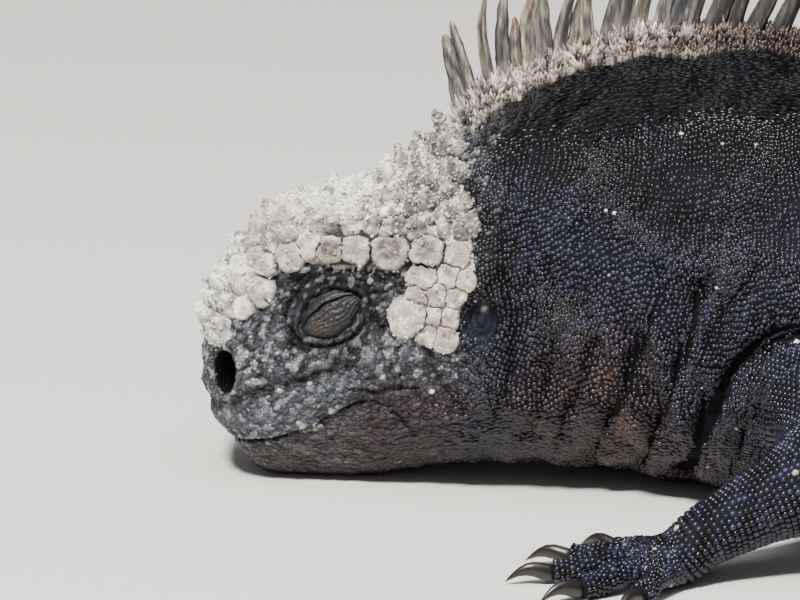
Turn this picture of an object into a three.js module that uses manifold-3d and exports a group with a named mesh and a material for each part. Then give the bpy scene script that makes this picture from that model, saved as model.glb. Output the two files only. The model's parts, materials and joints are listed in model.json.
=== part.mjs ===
// A marine iguana at life size, resting with its chin, belly and tail on the ground, its eyes shut and its limbs
// sprawled. Millimetres, +Z up. The snout points along -X and the animal's left side faces -Y.
// The origin is the middle of the flat of the belly, on the ground.

import * as THREE from "three";
import { mergeVertices } from "three/addons/utils/BufferGeometryUtils.js";
import Module from "manifold-3d";

const wasm = await Module();
wasm.setup();

// Driving dimensions of the whole animal

const SNOUT_X = -250;
const SNOUT_TO_VENT = 425;
const TAIL_LENGTH = 620;
const BODY_LENGTH = SNOUT_TO_VENT + TAIL_LENGTH;
const GAP = 0.3;
const HALF_GAP = GAP / 2;
const LEFT = -1;
const RIGHT = 1;
const DEGREE = Math.PI / 180;

// Which way the body points, in degrees from +X towards +Y, at a distance from the snout along the body
const HEADING = [
  [0, 0],
  [225, 0],
  [330, 7],
  [430, 15],
  [560, 8],
  [720, -14],
  [880, -30],
  [1045, -18],
];

// The bare body's cross-sections, without scutes, crest or limbs: distance from the snout, half width, height of the
// top, of the underside and of the widest place, then how boxy the section is above and below the widest place
const SECTIONS = [
  [0, 5, 33, 24, 28, 2.2, 2.2],
  [1, 10.5, 39, 20.5, 29, 2.3, 2.3],
  [3, 14.8, 46, 17, 29, 2.4, 2.5],
  [6, 17.8, 53, 12.8, 29, 2.5, 2.7],
  [10, 19.8, 60, 6, 29, 2.6, 2.8],
  [15, 21.4, 67, 0.4, 30, 2.7, 2.7],
  [21, 22.8, 72, -1.4, 31, 2.8, 2.6],
  [28, 24, 75, -1.6, 33, 2.9, 2.6],
  [36, 25.2, 76.5, -1.6, 35, 3, 2.6],
  [46, 27.6, 78.5, -1.2, 36, 2.9, 2.5],
  [54, 30, 80.5, 0.6, 38, 2.7, 2.4],
  [62, 32.4, 84.5, 1.8, 39, 2.5, 2.3],
  [69, 34.4, 93, 2.6, 41, 2.2, 2.3],
  [78, 36, 101, 3.2, 43, 2, 2.3],
  [92, 38.5, 108.5, 3.4, 45, 1.95, 2.3],
  [108, 42, 113.5, 2.2, 46, 1.9, 2.4],
  [126, 49, 116, 0.2, 44, 1.9, 2.5],
  [146, 57, 115.5, -1.6, 41, 1.9, 2.6],
  [170, 63, 113.5, -2, 40, 1.95, 2.8],
  [205, 68, 112, -2, 39, 2, 3],
  [250, 70, 109, -2, 38, 2, 3],
  [290, 66, 102, -2, 37, 2, 2.9],
  [330, 56, 90, -2, 35, 2, 2.8],
  [365, 45, 76, -1.6, 32, 2, 2.6],
  [395, 34, 62, -1.4, 28, 2, 2.5],
  [425, 26, 51, -1.2, 23, 2, 2.4],
  [455, 21, 44, -1, 19, 1.95, 2.4],
  [500, 17.5, 38, -1, 16, 1.9, 2.3],
  [600, 13.5, 31, -0.8, 13, 1.9, 2.3],
  [720, 9.8, 24, -0.8, 10, 1.9, 2.3],
  [850, 6.4, 16.5, -0.7, 7, 1.9, 2.3],
  [960, 3.8, 10, -0.6, 4.2, 1.9, 2.3],
  [1025, 2.1, 5.4, -0.5, 2.2, 2, 2.2],
  [1045, 1, 2.8, -0.3, 1.2, 2, 2],
];

// Crest along the middle of the back: distance from the snout, height of a spine over the skin, width of its root
// along the body, its lean towards the tail in degrees, the distance to the next spine, then the height and half width
// of the fleshy ridge that the spines stand on
const CREST = [
  [70.5, 22, 4.6, -14, 6.4, 7, 4.2],
  [84, 23, 5.2, -8, 6.6, 5, 4.2],
  [104, 27, 5.8, 4, 7.2, 5, 4.4],
  [132, 28, 6.2, 18, 7.8, 5, 4.6],
  [165, 24, 6.2, 30, 8.4, 4.4, 4.4],
  [210, 17, 6, 34, 9, 3.6, 4],
  [300, 12, 5.8, 38, 10, 2.6, 3.4],
  [400, 9, 5.6, 42, 11, 1.8, 2.8],
  [460, 8.5, 6.2, 44, 13, 1.4, 2.4],
  [600, 7.5, 6.8, 46, 15, 1.2, 2],
  [760, 6, 6.6, 48, 16, 1, 1.6],
  [900, 4, 5, 50, 16, 0.7, 1],
  [1015, 1.8, 3, 52, 16, 0.4, 0.5],
];
const RIDGE_END = 520;
const RIDGE_STEP = 13;
const RIDGE_ROOT_DEPTH = 3;
const RIDGE_TOP_SHARE = 0.55; // half width of the ridge's top as a share of its foot's
const SPINE_ROOT_DEPTH = 2.6;
const SPINE_THICKNESS = 0.5; // across the body, as a share of the root's width along it
const SPINE_MIDDLE_SHARE = 0.8; // width halfway up, as a share of the root's
const SPINE_BEND = 0.12; // how far the tip bends back, as a share of the height
const SPINE_SPREAD = 0.13; // how much the heights of neighbours differ

// Small helpers

const clamp = THREE.MathUtils.clamp;
const bell = (x) => Math.exp(-x * x);
const vector = (x, y, z) => new THREE.Vector3(x, y, z);
const signedPower = (x, power) => Math.sign(x) * Math.abs(x) ** power;

// A seeded draw from -1 to 1
let drawState = 20240611;
function draw() {
  drawState = (Math.imul(drawState, 1664525) + 1013904223) >>> 0;
  return drawState / 2 ** 31 - 1;
}

// A smooth curve through the rows of a table, whose first column is the distance: it never overshoots a row
function track(rows) {
  const at = rows.map((row) => row[0]);
  const steps = rows.slice(1).map((row, i) => row.map((v, c) => (v - rows[i][c]) / (at[i + 1] - at[i])));
  const slopes = rows.map((row, i) =>
    row.map((_, c) => {
      const before = steps[i - 1]?.[c];
      const after = steps[i]?.[c];
      if (before === undefined || after === undefined) return before ?? after;
      return before * after <= 0 ? 0 : (2 * before * after) / (before + after);
    }),
  );
  return (distance) => {
    const d = clamp(distance, at[0], at[at.length - 1]);
    let i = 0;
    while (i < rows.length - 2 && d > at[i + 1]) i++;
    const h = at[i + 1] - at[i];
    const t = (d - at[i]) / h;
    return rows[i].map((v, c) => {
      const a = 2 * t ** 3 - 3 * t ** 2 + 1;
      const b = t ** 3 - 2 * t ** 2 + t;
      const e = t ** 3 - t ** 2;
      return a * v + b * h * slopes[i][c] + (1 - a) * rows[i + 1][c] + e * h * slopes[i + 1][c];
    });
  };
}

const headingAt = track(HEADING);
const sectionAt = track(SECTIONS);
const crestAt = track(CREST);

// The body's midline on the ground, one point for each millimetre from the snout
const midline = [{ x: SNOUT_X, y: 0 }];
for (let d = 0; d < BODY_LENGTH; d++) {
  const turn = headingAt(d + 0.5)[1] * DEGREE;
  const last = midline[d];
  midline.push({ x: last.x + Math.cos(turn), y: last.y + Math.sin(turn) });
}

// Turns a distance along the body, an offset to its right and a height into a point
function place(distance, offset, height) {
  const d = clamp(distance, 0, BODY_LENGTH - 1e-6);
  const i = Math.floor(d);
  const t = d - i;
  const turn = headingAt(d)[1] * DEGREE;
  return vector(
    midline[i].x + t * (midline[i + 1].x - midline[i].x) - offset * Math.sin(turn),
    midline[i].y + t * (midline[i + 1].y - midline[i].y) + offset * Math.cos(turn),
    height,
  );
}

// Head: where things are, as distance from the snout and height, and their sizes

const MOUTH_LINE = [
  [-6, 11],
  [10, 11.6],
  [20, 13.2],
  [28, 16.8],
  [34, 20.2],
  [40, 24],
  [45, 25.8],
];
const JAW_HINGE = [
  [47, 22],
  [50, 8],
  [52, -6],
];
const MOUTH_SLIT = 0.35;
const LIP_FURROW = [
  [0, 20],
  [5, 21.5],
  [14, 25.2],
  [21, 28],
  [31, 32],
  [44, 36],
];
const EYE = { distance: 34.3, height: 48.6, long: 8.8, high: 6.1, deep: 5.2, tilt: 33, proud: 2.3 };
const NOSTRIL = { distance: 6, height: 31.2, long: 2.7, high: 5.8, deep: 5 };
const EAR = { distance: 74.8, height: 49.5, long: 6, high: 8, deep: 2.4 };
const BROW = { distance: 40, height: 65, long: 17, high: 5, rise: 1.6 };
const CHEEK = { distance: 52, height: 38, long: 12, high: 9, rise: 1.4 };
const NECK_FOLDS = { from: 96, to: 140, pitch: 13, depth: 1.3, lean: 0.32, height: 36, reach: 30 };

const mouthHeight = track(MOUTH_LINE);
const furrowHeight = track(LIP_FURROW);

// How far the skin of the side of the head and neck stands out or sinks in, at a distance and a height
function relief(distance, height) {
  const patch = (spot) =>
    spot.rise * bell((distance - spot.distance) / spot.long) * bell((height - spot.height) / spot.high);
  let out = patch(BROW) + patch(CHEEK);
  const turn = EYE.tilt * DEGREE;
  const along = distance - EYE.distance;
  const up = height - EYE.height;
  const u = (along * Math.cos(turn) + up * Math.sin(turn)) / EYE.long;
  const v = (up * Math.cos(turn) - along * Math.sin(turn)) / EYE.high;
  const reach = Math.hypot(u, v);
  out += 0.9 * bell((reach - 1.35) / 0.3) - 1.1 * bell(reach / 0.9);
  if (distance < 48) {
    const fade = clamp((48 - distance) / 12, 0, 1);
    out -= fade * 1.1 * bell((height - furrowHeight(distance)[1]) / 2.4);
    out += fade * 0.9 * bell((height - mouthHeight(distance)[1] - 6) / 3.6);
  }
  const folded = NECK_FOLDS;
  const middle = (folded.from + folded.to) / 2;
  const share = bell((distance - middle) / (folded.to - middle)) * bell((height - folded.height) / folded.reach);
  out += share * folded.depth * Math.sin(((distance + height * folded.lean) / folded.pitch) * 2 * Math.PI);
  return out;
}

// A point of the skin at a distance from the snout and an angle round the body, 0 at the top and a quarter turn at the
// right side. Grow moves the whole skin out.
function bareSkin(distance, angle, grow = 0) {
  const [, half, top, bottom, wide, boxTop, boxBottom] = sectionAt(distance);
  const up = Math.cos(angle);
  const boxy = 2 / (up > 0 ? boxTop : boxBottom);
  const reach = up > 0 ? top + grow - wide : wide - bottom + grow;
  return place(distance, (half + grow) * signedPower(Math.sin(angle), boxy), wide + reach * signedPower(up, boxy));
}

function skinNormal(distance, angle) {
  const step = 0.5;
  const a = Math.max(distance - step, 0);
  const along = bareSkin(distance + step, angle).sub(bareSkin(a, angle));
  const around = bareSkin(distance, angle + 0.02).sub(bareSkin(distance, angle - 0.02));
  return along.cross(around).normalize();
}

const RELIEF_END = 160; // the body behind this distance has a smooth section

function skin(distance, angle, grow = 0) {
  const point = bareSkin(distance, angle, grow);
  if (distance > RELIEF_END) return point;
  return point.addScaledVector(skinNormal(distance, angle), relief(distance, point.z));
}

// Finds the angle at which the side of the body has a height
function angleAtHeight(distance, height, side) {
  let low = 0;
  let high = Math.PI;
  for (let i = 0; i < 30; i++) {
    const middle = (low + high) / 2;
    if (bareSkin(distance, middle).z > height) low = middle;
    else high = middle;
  }
  return side * low;
}

// Solids

// Joins rings of points, each a closed loop of the same count, into one closed surface with flat ends, the last of
// which runs out to a tip if one is given
function loft(rings, tip) {
  const count = rings[0].length;
  const points = rings.flat();
  const faces = [];
  for (let r = 0; r + 1 < rings.length; r++)
    for (let i = 0; i < count; i++) {
      const a = r * count + i;
      const b = r * count + ((i + 1) % count);
      faces.push(a, b, a + count, b, b + count, a + count);
    }
  for (const [start, turned] of [[0, true], [(rings.length - 1) * count, false]]) {
    const middle = vector(0, 0, 0);
    for (let i = 0; i < count; i++) middle.addScaledVector(points[start + i], 1 / count);
    points.push(tip && !turned ? tip : middle);
    for (let i = 0; i < count; i++) {
      const a = start + i;
      const b = start + ((i + 1) % count);
      faces.push(...(turned ? [b, a] : [a, b]), points.length - 1);
    }
  }
  return new THREE.BufferGeometry().setFromPoints(points).setIndex(faces);
}

function toSolid(geometry) {
  const plain = geometry.clone();
  plain.deleteAttribute("normal");
  plain.deleteAttribute("uv");
  const merged = mergeVertices(plain, 1e-4);
  const vertProperties = merged.attributes.position.array;
  const make = (triVerts) => new wasm.Manifold(new wasm.Mesh({ numProp: 3, vertProperties, triVerts }));
  const made = make(new Uint32Array(merged.index.array));
  return made.volume() > 0 ? made : make(new Uint32Array(merged.index.array).reverse());
}

function toGeometry(solid) {
  const { numProp, vertProperties, triVerts } = solid.getMesh();
  const positions = new Float32Array((vertProperties.length / numProp) * 3);
  for (let i = 0; i < positions.length / 3; i++)
    positions.set(vertProperties.subarray(i * numProp, i * numProp + 3), i * 3);
  const geometry = new THREE.BufferGeometry();
  geometry.setAttribute("position", new THREE.BufferAttribute(positions, 3));
  geometry.setIndex(new THREE.BufferAttribute(triVerts, 1));
  return geometry.toNonIndexed();
}

const joined = (pieces) => pieces.reduce((whole, piece) => whole.add(piece));
const largest = (solid) => solid.decompose().sort((a, b) => b.volume() - a.volume())[0];
const aboveGround = (solid) => solid.trimByPlane([0, 0, 1], 0);

// A round or oval bar along a line of points, whose sections are half width and half height at each point
function bar(points, sections, sides, tip) {
  const up = vector(0, 0, 1);
  const rings = points.map((point, i) => {
    const before = points[Math.max(i - 1, 0)];
    const after = points[Math.min(i + 1, points.length - 1)];
    const forward = after.clone().sub(before).normalize();
    const across = forward.clone().cross(up).normalize();
    const over = across.clone().cross(forward).normalize();
    const [wide, high] = sections[i];
    return Array.from({ length: sides }, (_, k) => {
      const turn = ((k + 0.5) / sides) * 2 * Math.PI;
      return point
        .clone()
        .addScaledVector(across, wide * Math.cos(turn))
        .addScaledVector(over, high * Math.sin(turn));
    });
  });
  return toSolid(loft(rings, tip));
}

// An egg-shaped solid on the side of the head: long runs along the head, high up it, deep into it
function eggOnSkin(spot, side, proud, grow, round = 14) {
  const angle = angleAtHeight(spot.distance, spot.height, side);
  const out = skinNormal(spot.distance, angle);
  const surface = skin(spot.distance, angle);
  const turn = (spot.tilt ?? 0) * DEGREE;
  const along = vector(Math.cos(turn), 0, Math.sin(turn));
  along.addScaledVector(out, -along.dot(out)).normalize();
  const across = out.clone().cross(along).normalize();
  const centre = surface.addScaledVector(out, proud - spot.deep);
  const frame = new THREE.Matrix4().makeBasis(along, across, out).setPosition(centre);
  const egg = new THREE.SphereGeometry(1, round, round / 2 + 1);
  egg.scale(spot.long + grow, spot.high + grow, spot.deep + grow);
  return toSolid(egg.applyMatrix4(frame));
}

// A stretch of the bare body between two distances. An ease over 1 sets its first sections closer together.
function bodyLength(from, to, sides, step, grow = 0, ease = 1) {
  const count = Math.ceil((to - from) / step);
  const rings = [];
  for (let i = 0; i <= count; i++) {
    const distance = from + (to - from) * (i / count) ** ease;
    rings.push(Array.from({ length: sides }, (_, k) => skin(distance, ((k + 0.5) / sides) * 2 * Math.PI, grow)));
  }
  return toSolid(loft(rings));
}

// Crest

// One spine: a flattened, pointed blade that bends back towards its tip, with its root sunk in the back
function spine(distance, height, width, lean) {
  const root = skin(distance, 0);
  const ahead = place(distance + 1, 0, 0).sub(place(distance, 0, 0)).normalize();
  const aside = vector(0, 0, 1).cross(ahead);
  const ring = (up, slide, half) => {
    const middle = root.clone().addScaledVector(ahead, slide).add(vector(0, 0, up));
    return [
      middle.clone().addScaledVector(ahead, half),
      middle.clone().addScaledVector(aside, half * SPINE_THICKNESS),
      middle.clone().addScaledVector(ahead, -half),
      middle.clone().addScaledVector(aside, -half * SPINE_THICKNESS),
    ];
  };
  const slope = Math.tan(lean * DEGREE);
  const bend = SPINE_BEND * height;
  const tip = root.clone().addScaledVector(ahead, height * slope + bend).add(vector(0, 0, height));
  const rings = [
    ring(-SPINE_ROOT_DEPTH, -SPINE_ROOT_DEPTH * slope, width / 2),
    ring(height / 2, (height / 2) * slope, (width / 2) * SPINE_MIDDLE_SHARE),
  ];
  return toSolid(loft(rings, tip));
}

// The ridge under the spines between two distances
function ridge(from, to) {
  const count = Math.ceil((to - from) / RIDGE_STEP);
  const rings = [];
  for (let i = 0; i <= count; i++) {
    const distance = from + ((to - from) * i) / count;
    const [, , , , , height, half] = crestAt(distance);
    const foot = skin(distance, 0);
    const ahead = place(distance + 1, 0, 0).sub(place(distance, 0, 0)).normalize();
    const aside = vector(0, 0, 1).cross(ahead);
    const corner = (share, up) => foot.clone().addScaledVector(aside, half * share).add(vector(0, 0, up));
    rings.push([
      corner(1, -RIDGE_ROOT_DEPTH),
      corner(RIDGE_TOP_SHARE, height),
      corner(-RIDGE_TOP_SHARE, height),
      corner(-1, -RIDGE_ROOT_DEPTH),
    ]);
  }
  return toSolid(loft(rings));
}

// Every spine whose root lies between two distances, clear of both ends
function spinesBetween(from, to) {
  const found = [];
  let distance = CREST[0][0];
  while (distance < CREST[CREST.length - 1][0]) {
    const [, height, width, lean, next] = crestAt(distance);
    const tall = height * (1 + SPINE_SPREAD * draw());
    const clear = width * 0.5 + SPINE_ROOT_DEPTH * Math.abs(Math.tan(lean * DEGREE)) + GAP;
    if (distance > from + clear && distance < to - clear) found.push(spine(distance, tall, width, lean));
    distance += next;
  }
  return found;
}

// Scutes of the head, each row an angle from the middle of the crown, from and to a distance from the snout, the
// scutes' size along and across, and how high their points stand

const SCUTE_ROWS = [
  { angle: 0, from: 2.5, to: 64, size: 9.4, height: 8.4 },
  { angle: 12, from: 3, to: 64, size: 9, height: 7.8 },
  { angle: 27, from: 4, to: 65, size: 8.8, height: 6.6 },
  { angle: 42, from: 7, to: 67, size: 8.4, height: 4.6 },
  { angle: 57, from: 12, to: 69, size: 8.2, height: 3 },
];
const TEMPLE_ROWS = [
  { angle: 65, from: 58, to: 72, size: 6.4, height: 1.8 },
  { angle: 77, from: 59, to: 71, size: 6.2, height: 1.7 },
];
const SCUTE_ROOT_DEPTH = 1.6;
const SCUTE_SIDES = 5;
const SCUTE_FOOT = 0.48; // shares of the scute's size
const SCUTE_WAIST = 0.36;

function scute(distance, angle, size, height) {
  const surface = skin(distance, angle);
  const out = skinNormal(distance, angle);
  const along = vector(1, 0, 0).addScaledVector(out, -out.x).normalize();
  const across = out.clone().cross(along);
  const ring = (up, half) =>
    Array.from({ length: SCUTE_SIDES }, (_, k) => {
      const turn = ((k + 0.5) / SCUTE_SIDES) * 2 * Math.PI;
      return surface
        .clone()
        .addScaledVector(out, up)
        .addScaledVector(along, half * Math.cos(turn) + up * 0.15)
        .addScaledVector(across, half * Math.sin(turn));
    });
  const tip = surface.clone().addScaledVector(out, height).addScaledVector(along, height * 0.2);
  return toSolid(loft([ring(-SCUTE_ROOT_DEPTH, size * SCUTE_FOOT), ring(height * 0.42, size * SCUTE_WAIST)], tip));
}

// Distances from the snout that are one pitch apart on the skin itself
function evenSteps(row, angle) {
  const found = [];
  let left = row.size * 0.5;
  let last = skin(row.from, angle);
  for (let distance = row.from; distance < row.to; distance += 0.25) {
    const here = skin(distance, angle);
    left -= here.distanceTo(last);
    last = here;
    if (left > 0) continue;
    found.push(distance);
    left += row.size;
  }
  return found;
}

function headScutes() {
  const made = [];
  for (const row of [...SCUTE_ROWS, ...TEMPLE_ROWS])
    for (const side of row.angle === 0 ? [RIGHT] : [LEFT, RIGHT]) {
      const angle = side * row.angle * DEGREE;
      for (const distance of evenSteps(row, angle)) {
        const size = row.size * (1 + 0.08 * draw());
        made.push(scute(distance, angle + 0.02 * draw(), size, row.height * (1 + 0.25 * draw())));
      }
    }
  return made;
}

// Head, with the lower jaw cut free along the line of the mouth

const HEAD_END = 96;
const HEAD_SIDES = 28;
const HEAD_STEP = 5.2;
const HEAD_EASE = 1.5;
// The cut between head and neck leans from the nape down and back behind the ear
const NECK_CUT = { top: [69, 96], bottom: [93, 0] };
const neckCutNormal = vector(
  NECK_CUT.top[1] - NECK_CUT.bottom[1],
  0,
  NECK_CUT.bottom[0] - NECK_CUT.top[0],
).normalize();
const neckCutOffset = neckCutNormal.dot(vector(SNOUT_X + NECK_CUT.bottom[0], 0, NECK_CUT.bottom[1]));

function inFrontOfNeckCut(solid) {
  const n = neckCutNormal;
  return solid.trimByPlane([-n.x, -n.y, -n.z], -(neckCutOffset - HALF_GAP));
}

function behindNeckCut(solid) {
  const n = neckCutNormal;
  return solid.trimByPlane([n.x, n.y, n.z], neckCutOffset + HALF_GAP);
}

// A thin curved wall across the whole head, that follows the mouth and then drops behind the hinge of the jaw
function mouthWall() {
  const line = [...MOUTH_LINE, ...JAW_HINGE].map(([d, z]) => new THREE.Vector2(SNOUT_X + d, z));
  const edge = (side) =>
    line.map((point, i) => {
      const run = line[Math.min(i + 1, line.length - 1)].clone().sub(line[Math.max(i - 1, 0)]).normalize();
      return point.clone().add(new THREE.Vector2(-run.y, run.x).multiplyScalar((side * MOUTH_SLIT) / 2));
    });
  const shape = new THREE.Shape([...edge(1), ...edge(-1).reverse()]);
  const wall = new THREE.ExtrudeGeometry(shape, { depth: 90, bevelEnabled: false, steps: 1 });
  wall.rotateX(Math.PI / 2);
  wall.translate(0, 45, 0);
  return toSolid(wall);
}

// The line where the shut lids meet: a thin curved blade through the upper part of the eye
function lidSlit(side) {
  const cut = { ...EYE, distance: EYE.distance - 0.6, height: EYE.height + 1.2, high: 0.45, long: EYE.long * 1.05 };
  return eggOnSkin(cut, side, EYE.proud + 1.2, 0, 8);
}

const bareHead = bodyLength(0, HEAD_END, HEAD_SIDES, HEAD_STEP, 0, HEAD_EASE);
const headWhole = aboveGround(inFrontOfNeckCut(joined([bareHead, ...headScutes()])));
const sockets = [LEFT, RIGHT].flatMap((side) => [
  eggOnSkin(EYE, side, EYE.proud, GAP),
  eggOnSkin(NOSTRIL, side, 1.4, 0),
  eggOnSkin(EAR, side, EAR.deep * 0.1, 0),
]);
const headParts = headWhole
  .subtract(joined(sockets))
  .subtract(mouthWall())
  .decompose()
  .sort((a, b) => b.volume() - a.volume());

const parts = new Map();
parts.set("head", headParts[0]);
parts.set("lower_jaw", headParts[1]);
for (const [side, word] of [[LEFT, "left"], [RIGHT, "right"]])
  parts.set("closed_eye_" + word, eggOnSkin(EYE, side, EYE.proud, 0).subtract(lidSlit(side)));

// Neck, torso and tail

const LENGTHS = [
  { name: "neck", from: 62, to: 140, sides: 28, step: 7.2 },
  { name: "torso_front", from: 140, to: 275, sides: 26, step: 14 },
  { name: "torso_rear", from: 275, to: 420, sides: 24, step: 16 },
  { name: "tail_1", from: 420, to: 520, sides: 16, step: 20 },
  { name: "tail_2", from: 520, to: 640, sides: 14, step: 24 },
  { name: "tail_3", from: 640, to: 760, sides: 12, step: 24 },
  { name: "tail_4", from: 760, to: 890, sides: 12, step: 22 },
  { name: "tail_5", from: 890, to: BODY_LENGTH, sides: 10, step: 22 },
];
const FIRST_SPINE_ROOM = 8;
for (const { name, from, to, sides, step } of LENGTHS) {
  const front = name === "neck" ? from : from + HALF_GAP;
  const end = to === BODY_LENGTH ? to - 0.01 : to - HALF_GAP;
  const first = name === "neck" ? CREST[0][0] - FIRST_SPINE_ROOM : from;
  const pieces = [bodyLength(front, end, sides, step), ...spinesBetween(first, to)];
  if (from < RIDGE_END) pieces.push(ridge(front, end));
  let solid = joined(pieces);
  if (name === "neck") solid = behindNeckCut(solid);
  parts.set(name, largest(aboveGround(solid)));
}

// Limbs. Joints are given for the right side as x, y and height, and y turns round for the left.

const ARM = {
  upper: "upper_arm",
  lower: "forearm",
  foot: "hand",
  root: [-88, 34, 40],
  bend: [-86, 87, 26],
  wrist: [-120, 98, 11],
  rootSize: [22, 22],
  bendSize: [13, 13],
  bulge: [14, 13],
  wristSize: [9, 7.5],
  palm: { length: 17, wide: 13.5, high: 5.6 },
  heading: 172,
  toes: [
    { turn: 48, length: 13 },
    { turn: 24, length: 20 },
    { turn: 2, length: 24 },
    { turn: -22, length: 22 },
    { turn: -50, length: 16 },
  ],
  claw: 11,
};
const LEG = {
  upper: "thigh",
  lower: "shin",
  foot: "foot",
  root: [104, 30, 36],
  bend: [50, 98, 34],
  wrist: [104, 122, 12],
  rootSize: [27, 27],
  bendSize: [16, 16],
  bulge: [17, 16],
  wristSize: [10, 8.5],
  palm: { length: 26, wide: 15, high: 6.6 },
  heading: 148,
  toes: [
    { turn: 46, length: 14 },
    { turn: 22, length: 23 },
    { turn: 2, length: 33 },
    { turn: -18, length: 41 },
    { turn: -52, length: 24 },
  ],
  claw: 12,
};
// The right limbs lie a little further back than the left ones
const RIGHT_SHIFT = { upper_arm: [7, -2, 0], thigh: [9, 3, 0] };
const LIMB_SIDES = 12;
const TOE_SIDES = 6;
const CLAW_SIDES = 5;
const TOE_THICK = 3.7;
const TOE_TAPER = [1.06, 1, 0.92, 0.74];
const KNUCKLE_SPREAD = 0.72; // how far the outer knuckles lie from the palm's middle, as a share of its half width
const KNUCKLE_BACK = 0.28; // how far the outer knuckles lie behind the middle one, as a share of the palm's length
const KNUCKLE_START = 0.92;
const CLAW_THICK = 2.3;
const CLAW_TIP_HEIGHT = 0.4;
const SOLE_DEPTH = 0.6; // how far palm and soles run below the ground before they are cut flat
const MITRE_ROOM = 16;
const WRIST_ROOM = 10;
const SHOULDER_TAPER = 0.84;
const RIGHT_TURN = 6; // the right hand and foot point this many degrees further out

const LIMB_CLEARANCE = 0.36;

// The body's own lengths, swollen by the clearance that the limbs keep from them
function grownLengths(...names) {
  const found = LENGTHS.filter(({ name }) => names.includes(name));
  return joined(found.map(({ from, to, sides, step }) => bodyLength(from, to, sides, step, LIMB_CLEARANCE)));
}

const bodyForCutting = {
  upper_arm: grownLengths("neck", "torso_front", "torso_rear"),
  thigh: grownLengths("torso_rear", "tail_1"),
};

function limbJoint(limb, name, side) {
  const shift = side === RIGHT && name !== "root" ? RIGHT_SHIFT[limb.upper] : [0, 0, 0];
  const [x, y, z] = limb[name].map((v, i) => v + shift[i]);
  return vector(x, y * side, z);
}

// A straight length of limb between two joints, run on past both so that mitred cuts can end it
function limbLength(a, b, startSize, middleSize, endSize, past) {
  const run = b.clone().sub(a);
  const length = run.length();
  const direction = run.clone().normalize();
  const stops = [-past[0] / length, 0.3, 0.62, 1, 1 + past[1] / length];
  const sizes = [startSize, middleSize, middleSize.map((v, i) => (v + endSize[i]) / 2), endSize, endSize];
  const points = stops.map((t) => a.clone().addScaledVector(direction, t * length));
  return bar(points, sizes, LIMB_SIDES);
}

function halfPlane(solid, point, normal, keepAhead) {
  const sign = keepAhead ? 1 : -1;
  const n = normal.clone().multiplyScalar(sign);
  return solid.trimByPlane([n.x, n.y, n.z], n.dot(point) + HALF_GAP);
}

// A toe arches up from its knuckle and comes down to the ground at its tip
function toePath(knuckle, direction, length) {
  const arch = [[-0.1, 0.4], [0.35, 1.6], [0.75, -0.6], [1, -0.6]];
  return arch.map(([share, up]) => {
    const point = knuckle.clone().addScaledVector(direction, length * share);
    point.z = TOE_THICK + up;
    return point;
  });
}

// A claw carries on from the toe's end face, arches and comes down to a point just over the ground
function claw(tip, direction, length) {
  const arch = [[0, 0, 1], [0.12, 0, 0.96], [0.55, 0.9, 0.62]];
  const at = (share, up) => tip.clone().addScaledVector(direction, GAP + length * share).add(vector(0, 0, up));
  const points = arch.map(([share, up]) => at(share, up));
  const sizes = arch.map(([, , share]) => [CLAW_THICK * share * 0.8, CLAW_THICK * share]);
  return bar(points, sizes, CLAW_SIDES, at(1, CLAW_TIP_HEIGHT - tip.z));
}

function buildLimb(limb, side, word) {
  const [root, bend, wrist] = ["root", "bend", "wrist"].map((name) => limbJoint(limb, name, side));
  const heading = (limb.heading - (side === RIGHT ? RIGHT_TURN : 0)) * DEGREE;
  const forward = vector(Math.cos(heading), side * Math.sin(heading), 0);
  const first = bend.clone().sub(root).normalize();
  const second = wrist.clone().sub(bend).normalize();
  const elbowNormal = first.clone().add(second).normalize();
  const wristNormal = second.clone().add(forward).normalize();

  const taper = limb.rootSize.map((v) => v * SHOULDER_TAPER);
  const upper = limbLength(root, bend, limb.rootSize, taper, limb.bendSize, [0, MITRE_ROOM]);
  const upperCut = halfPlane(upper, bend, elbowNormal, false).subtract(bodyForCutting[limb.upper]);
  parts.set(limb.upper + "_" + word, largest(aboveGround(upperCut)));

  const lower = limbLength(bend, wrist, limb.bendSize, limb.bulge, limb.wristSize, [MITRE_ROOM, WRIST_ROOM]);
  const lowerCut = halfPlane(halfPlane(lower, bend, elbowNormal, true), wrist, wristNormal, false);
  parts.set(limb.lower + "_" + word, largest(aboveGround(lowerCut.subtract(bodyForCutting[limb.upper]))));

  const { length, wide, high } = limb.palm;
  const palmStops = [-WRIST_ROOM, 0, length * 0.55, length * 0.9, length * 1.12];
  const palmSizes = [limb.wristSize, limb.wristSize, [wide * 0.9, high + 0.6], [wide, high], [wide * 0.8, high * 0.6]];
  const palmPoints = palmStops.map((t) => wrist.clone().addScaledVector(forward, t));
  palmPoints.forEach((point, i) => {
    if (i > 1) point.z = palmSizes[i][1] - SOLE_DEPTH;
  });
  const palm = halfPlane(bar(palmPoints, palmSizes, LIMB_SIDES), wrist, wristNormal, true);
  const across = vector(0, 0, 1).cross(forward).multiplyScalar(side);
  const pieces = [palm];
  limb.toes.forEach(({ turn, length: toeLength }, i) => {
    const spread = (i / (limb.toes.length - 1)) * 2 - 1;
    const back = spread ** 2 * KNUCKLE_BACK * length;
    const angle = heading + turn * DEGREE;
    const direction = vector(Math.cos(angle), side * Math.sin(angle), 0);
    const knuckle = wrist
      .clone()
      .addScaledVector(forward, length * KNUCKLE_START - back)
      .addScaledVector(across, -spread * wide * KNUCKLE_SPREAD);
    const path = toePath(knuckle, direction, toeLength);
    pieces.push(bar(path, TOE_TAPER.map((v) => [v * TOE_THICK, v * TOE_THICK]), TOE_SIDES));
    const tip = path[path.length - 1];
    parts.set(limb.foot + "_claw_" + word + "_" + (i + 1), aboveGround(claw(tip, direction, limb.claw)));
  });
  parts.set(limb.foot + "_" + word, largest(aboveGround(joined(pieces))));
}

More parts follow.
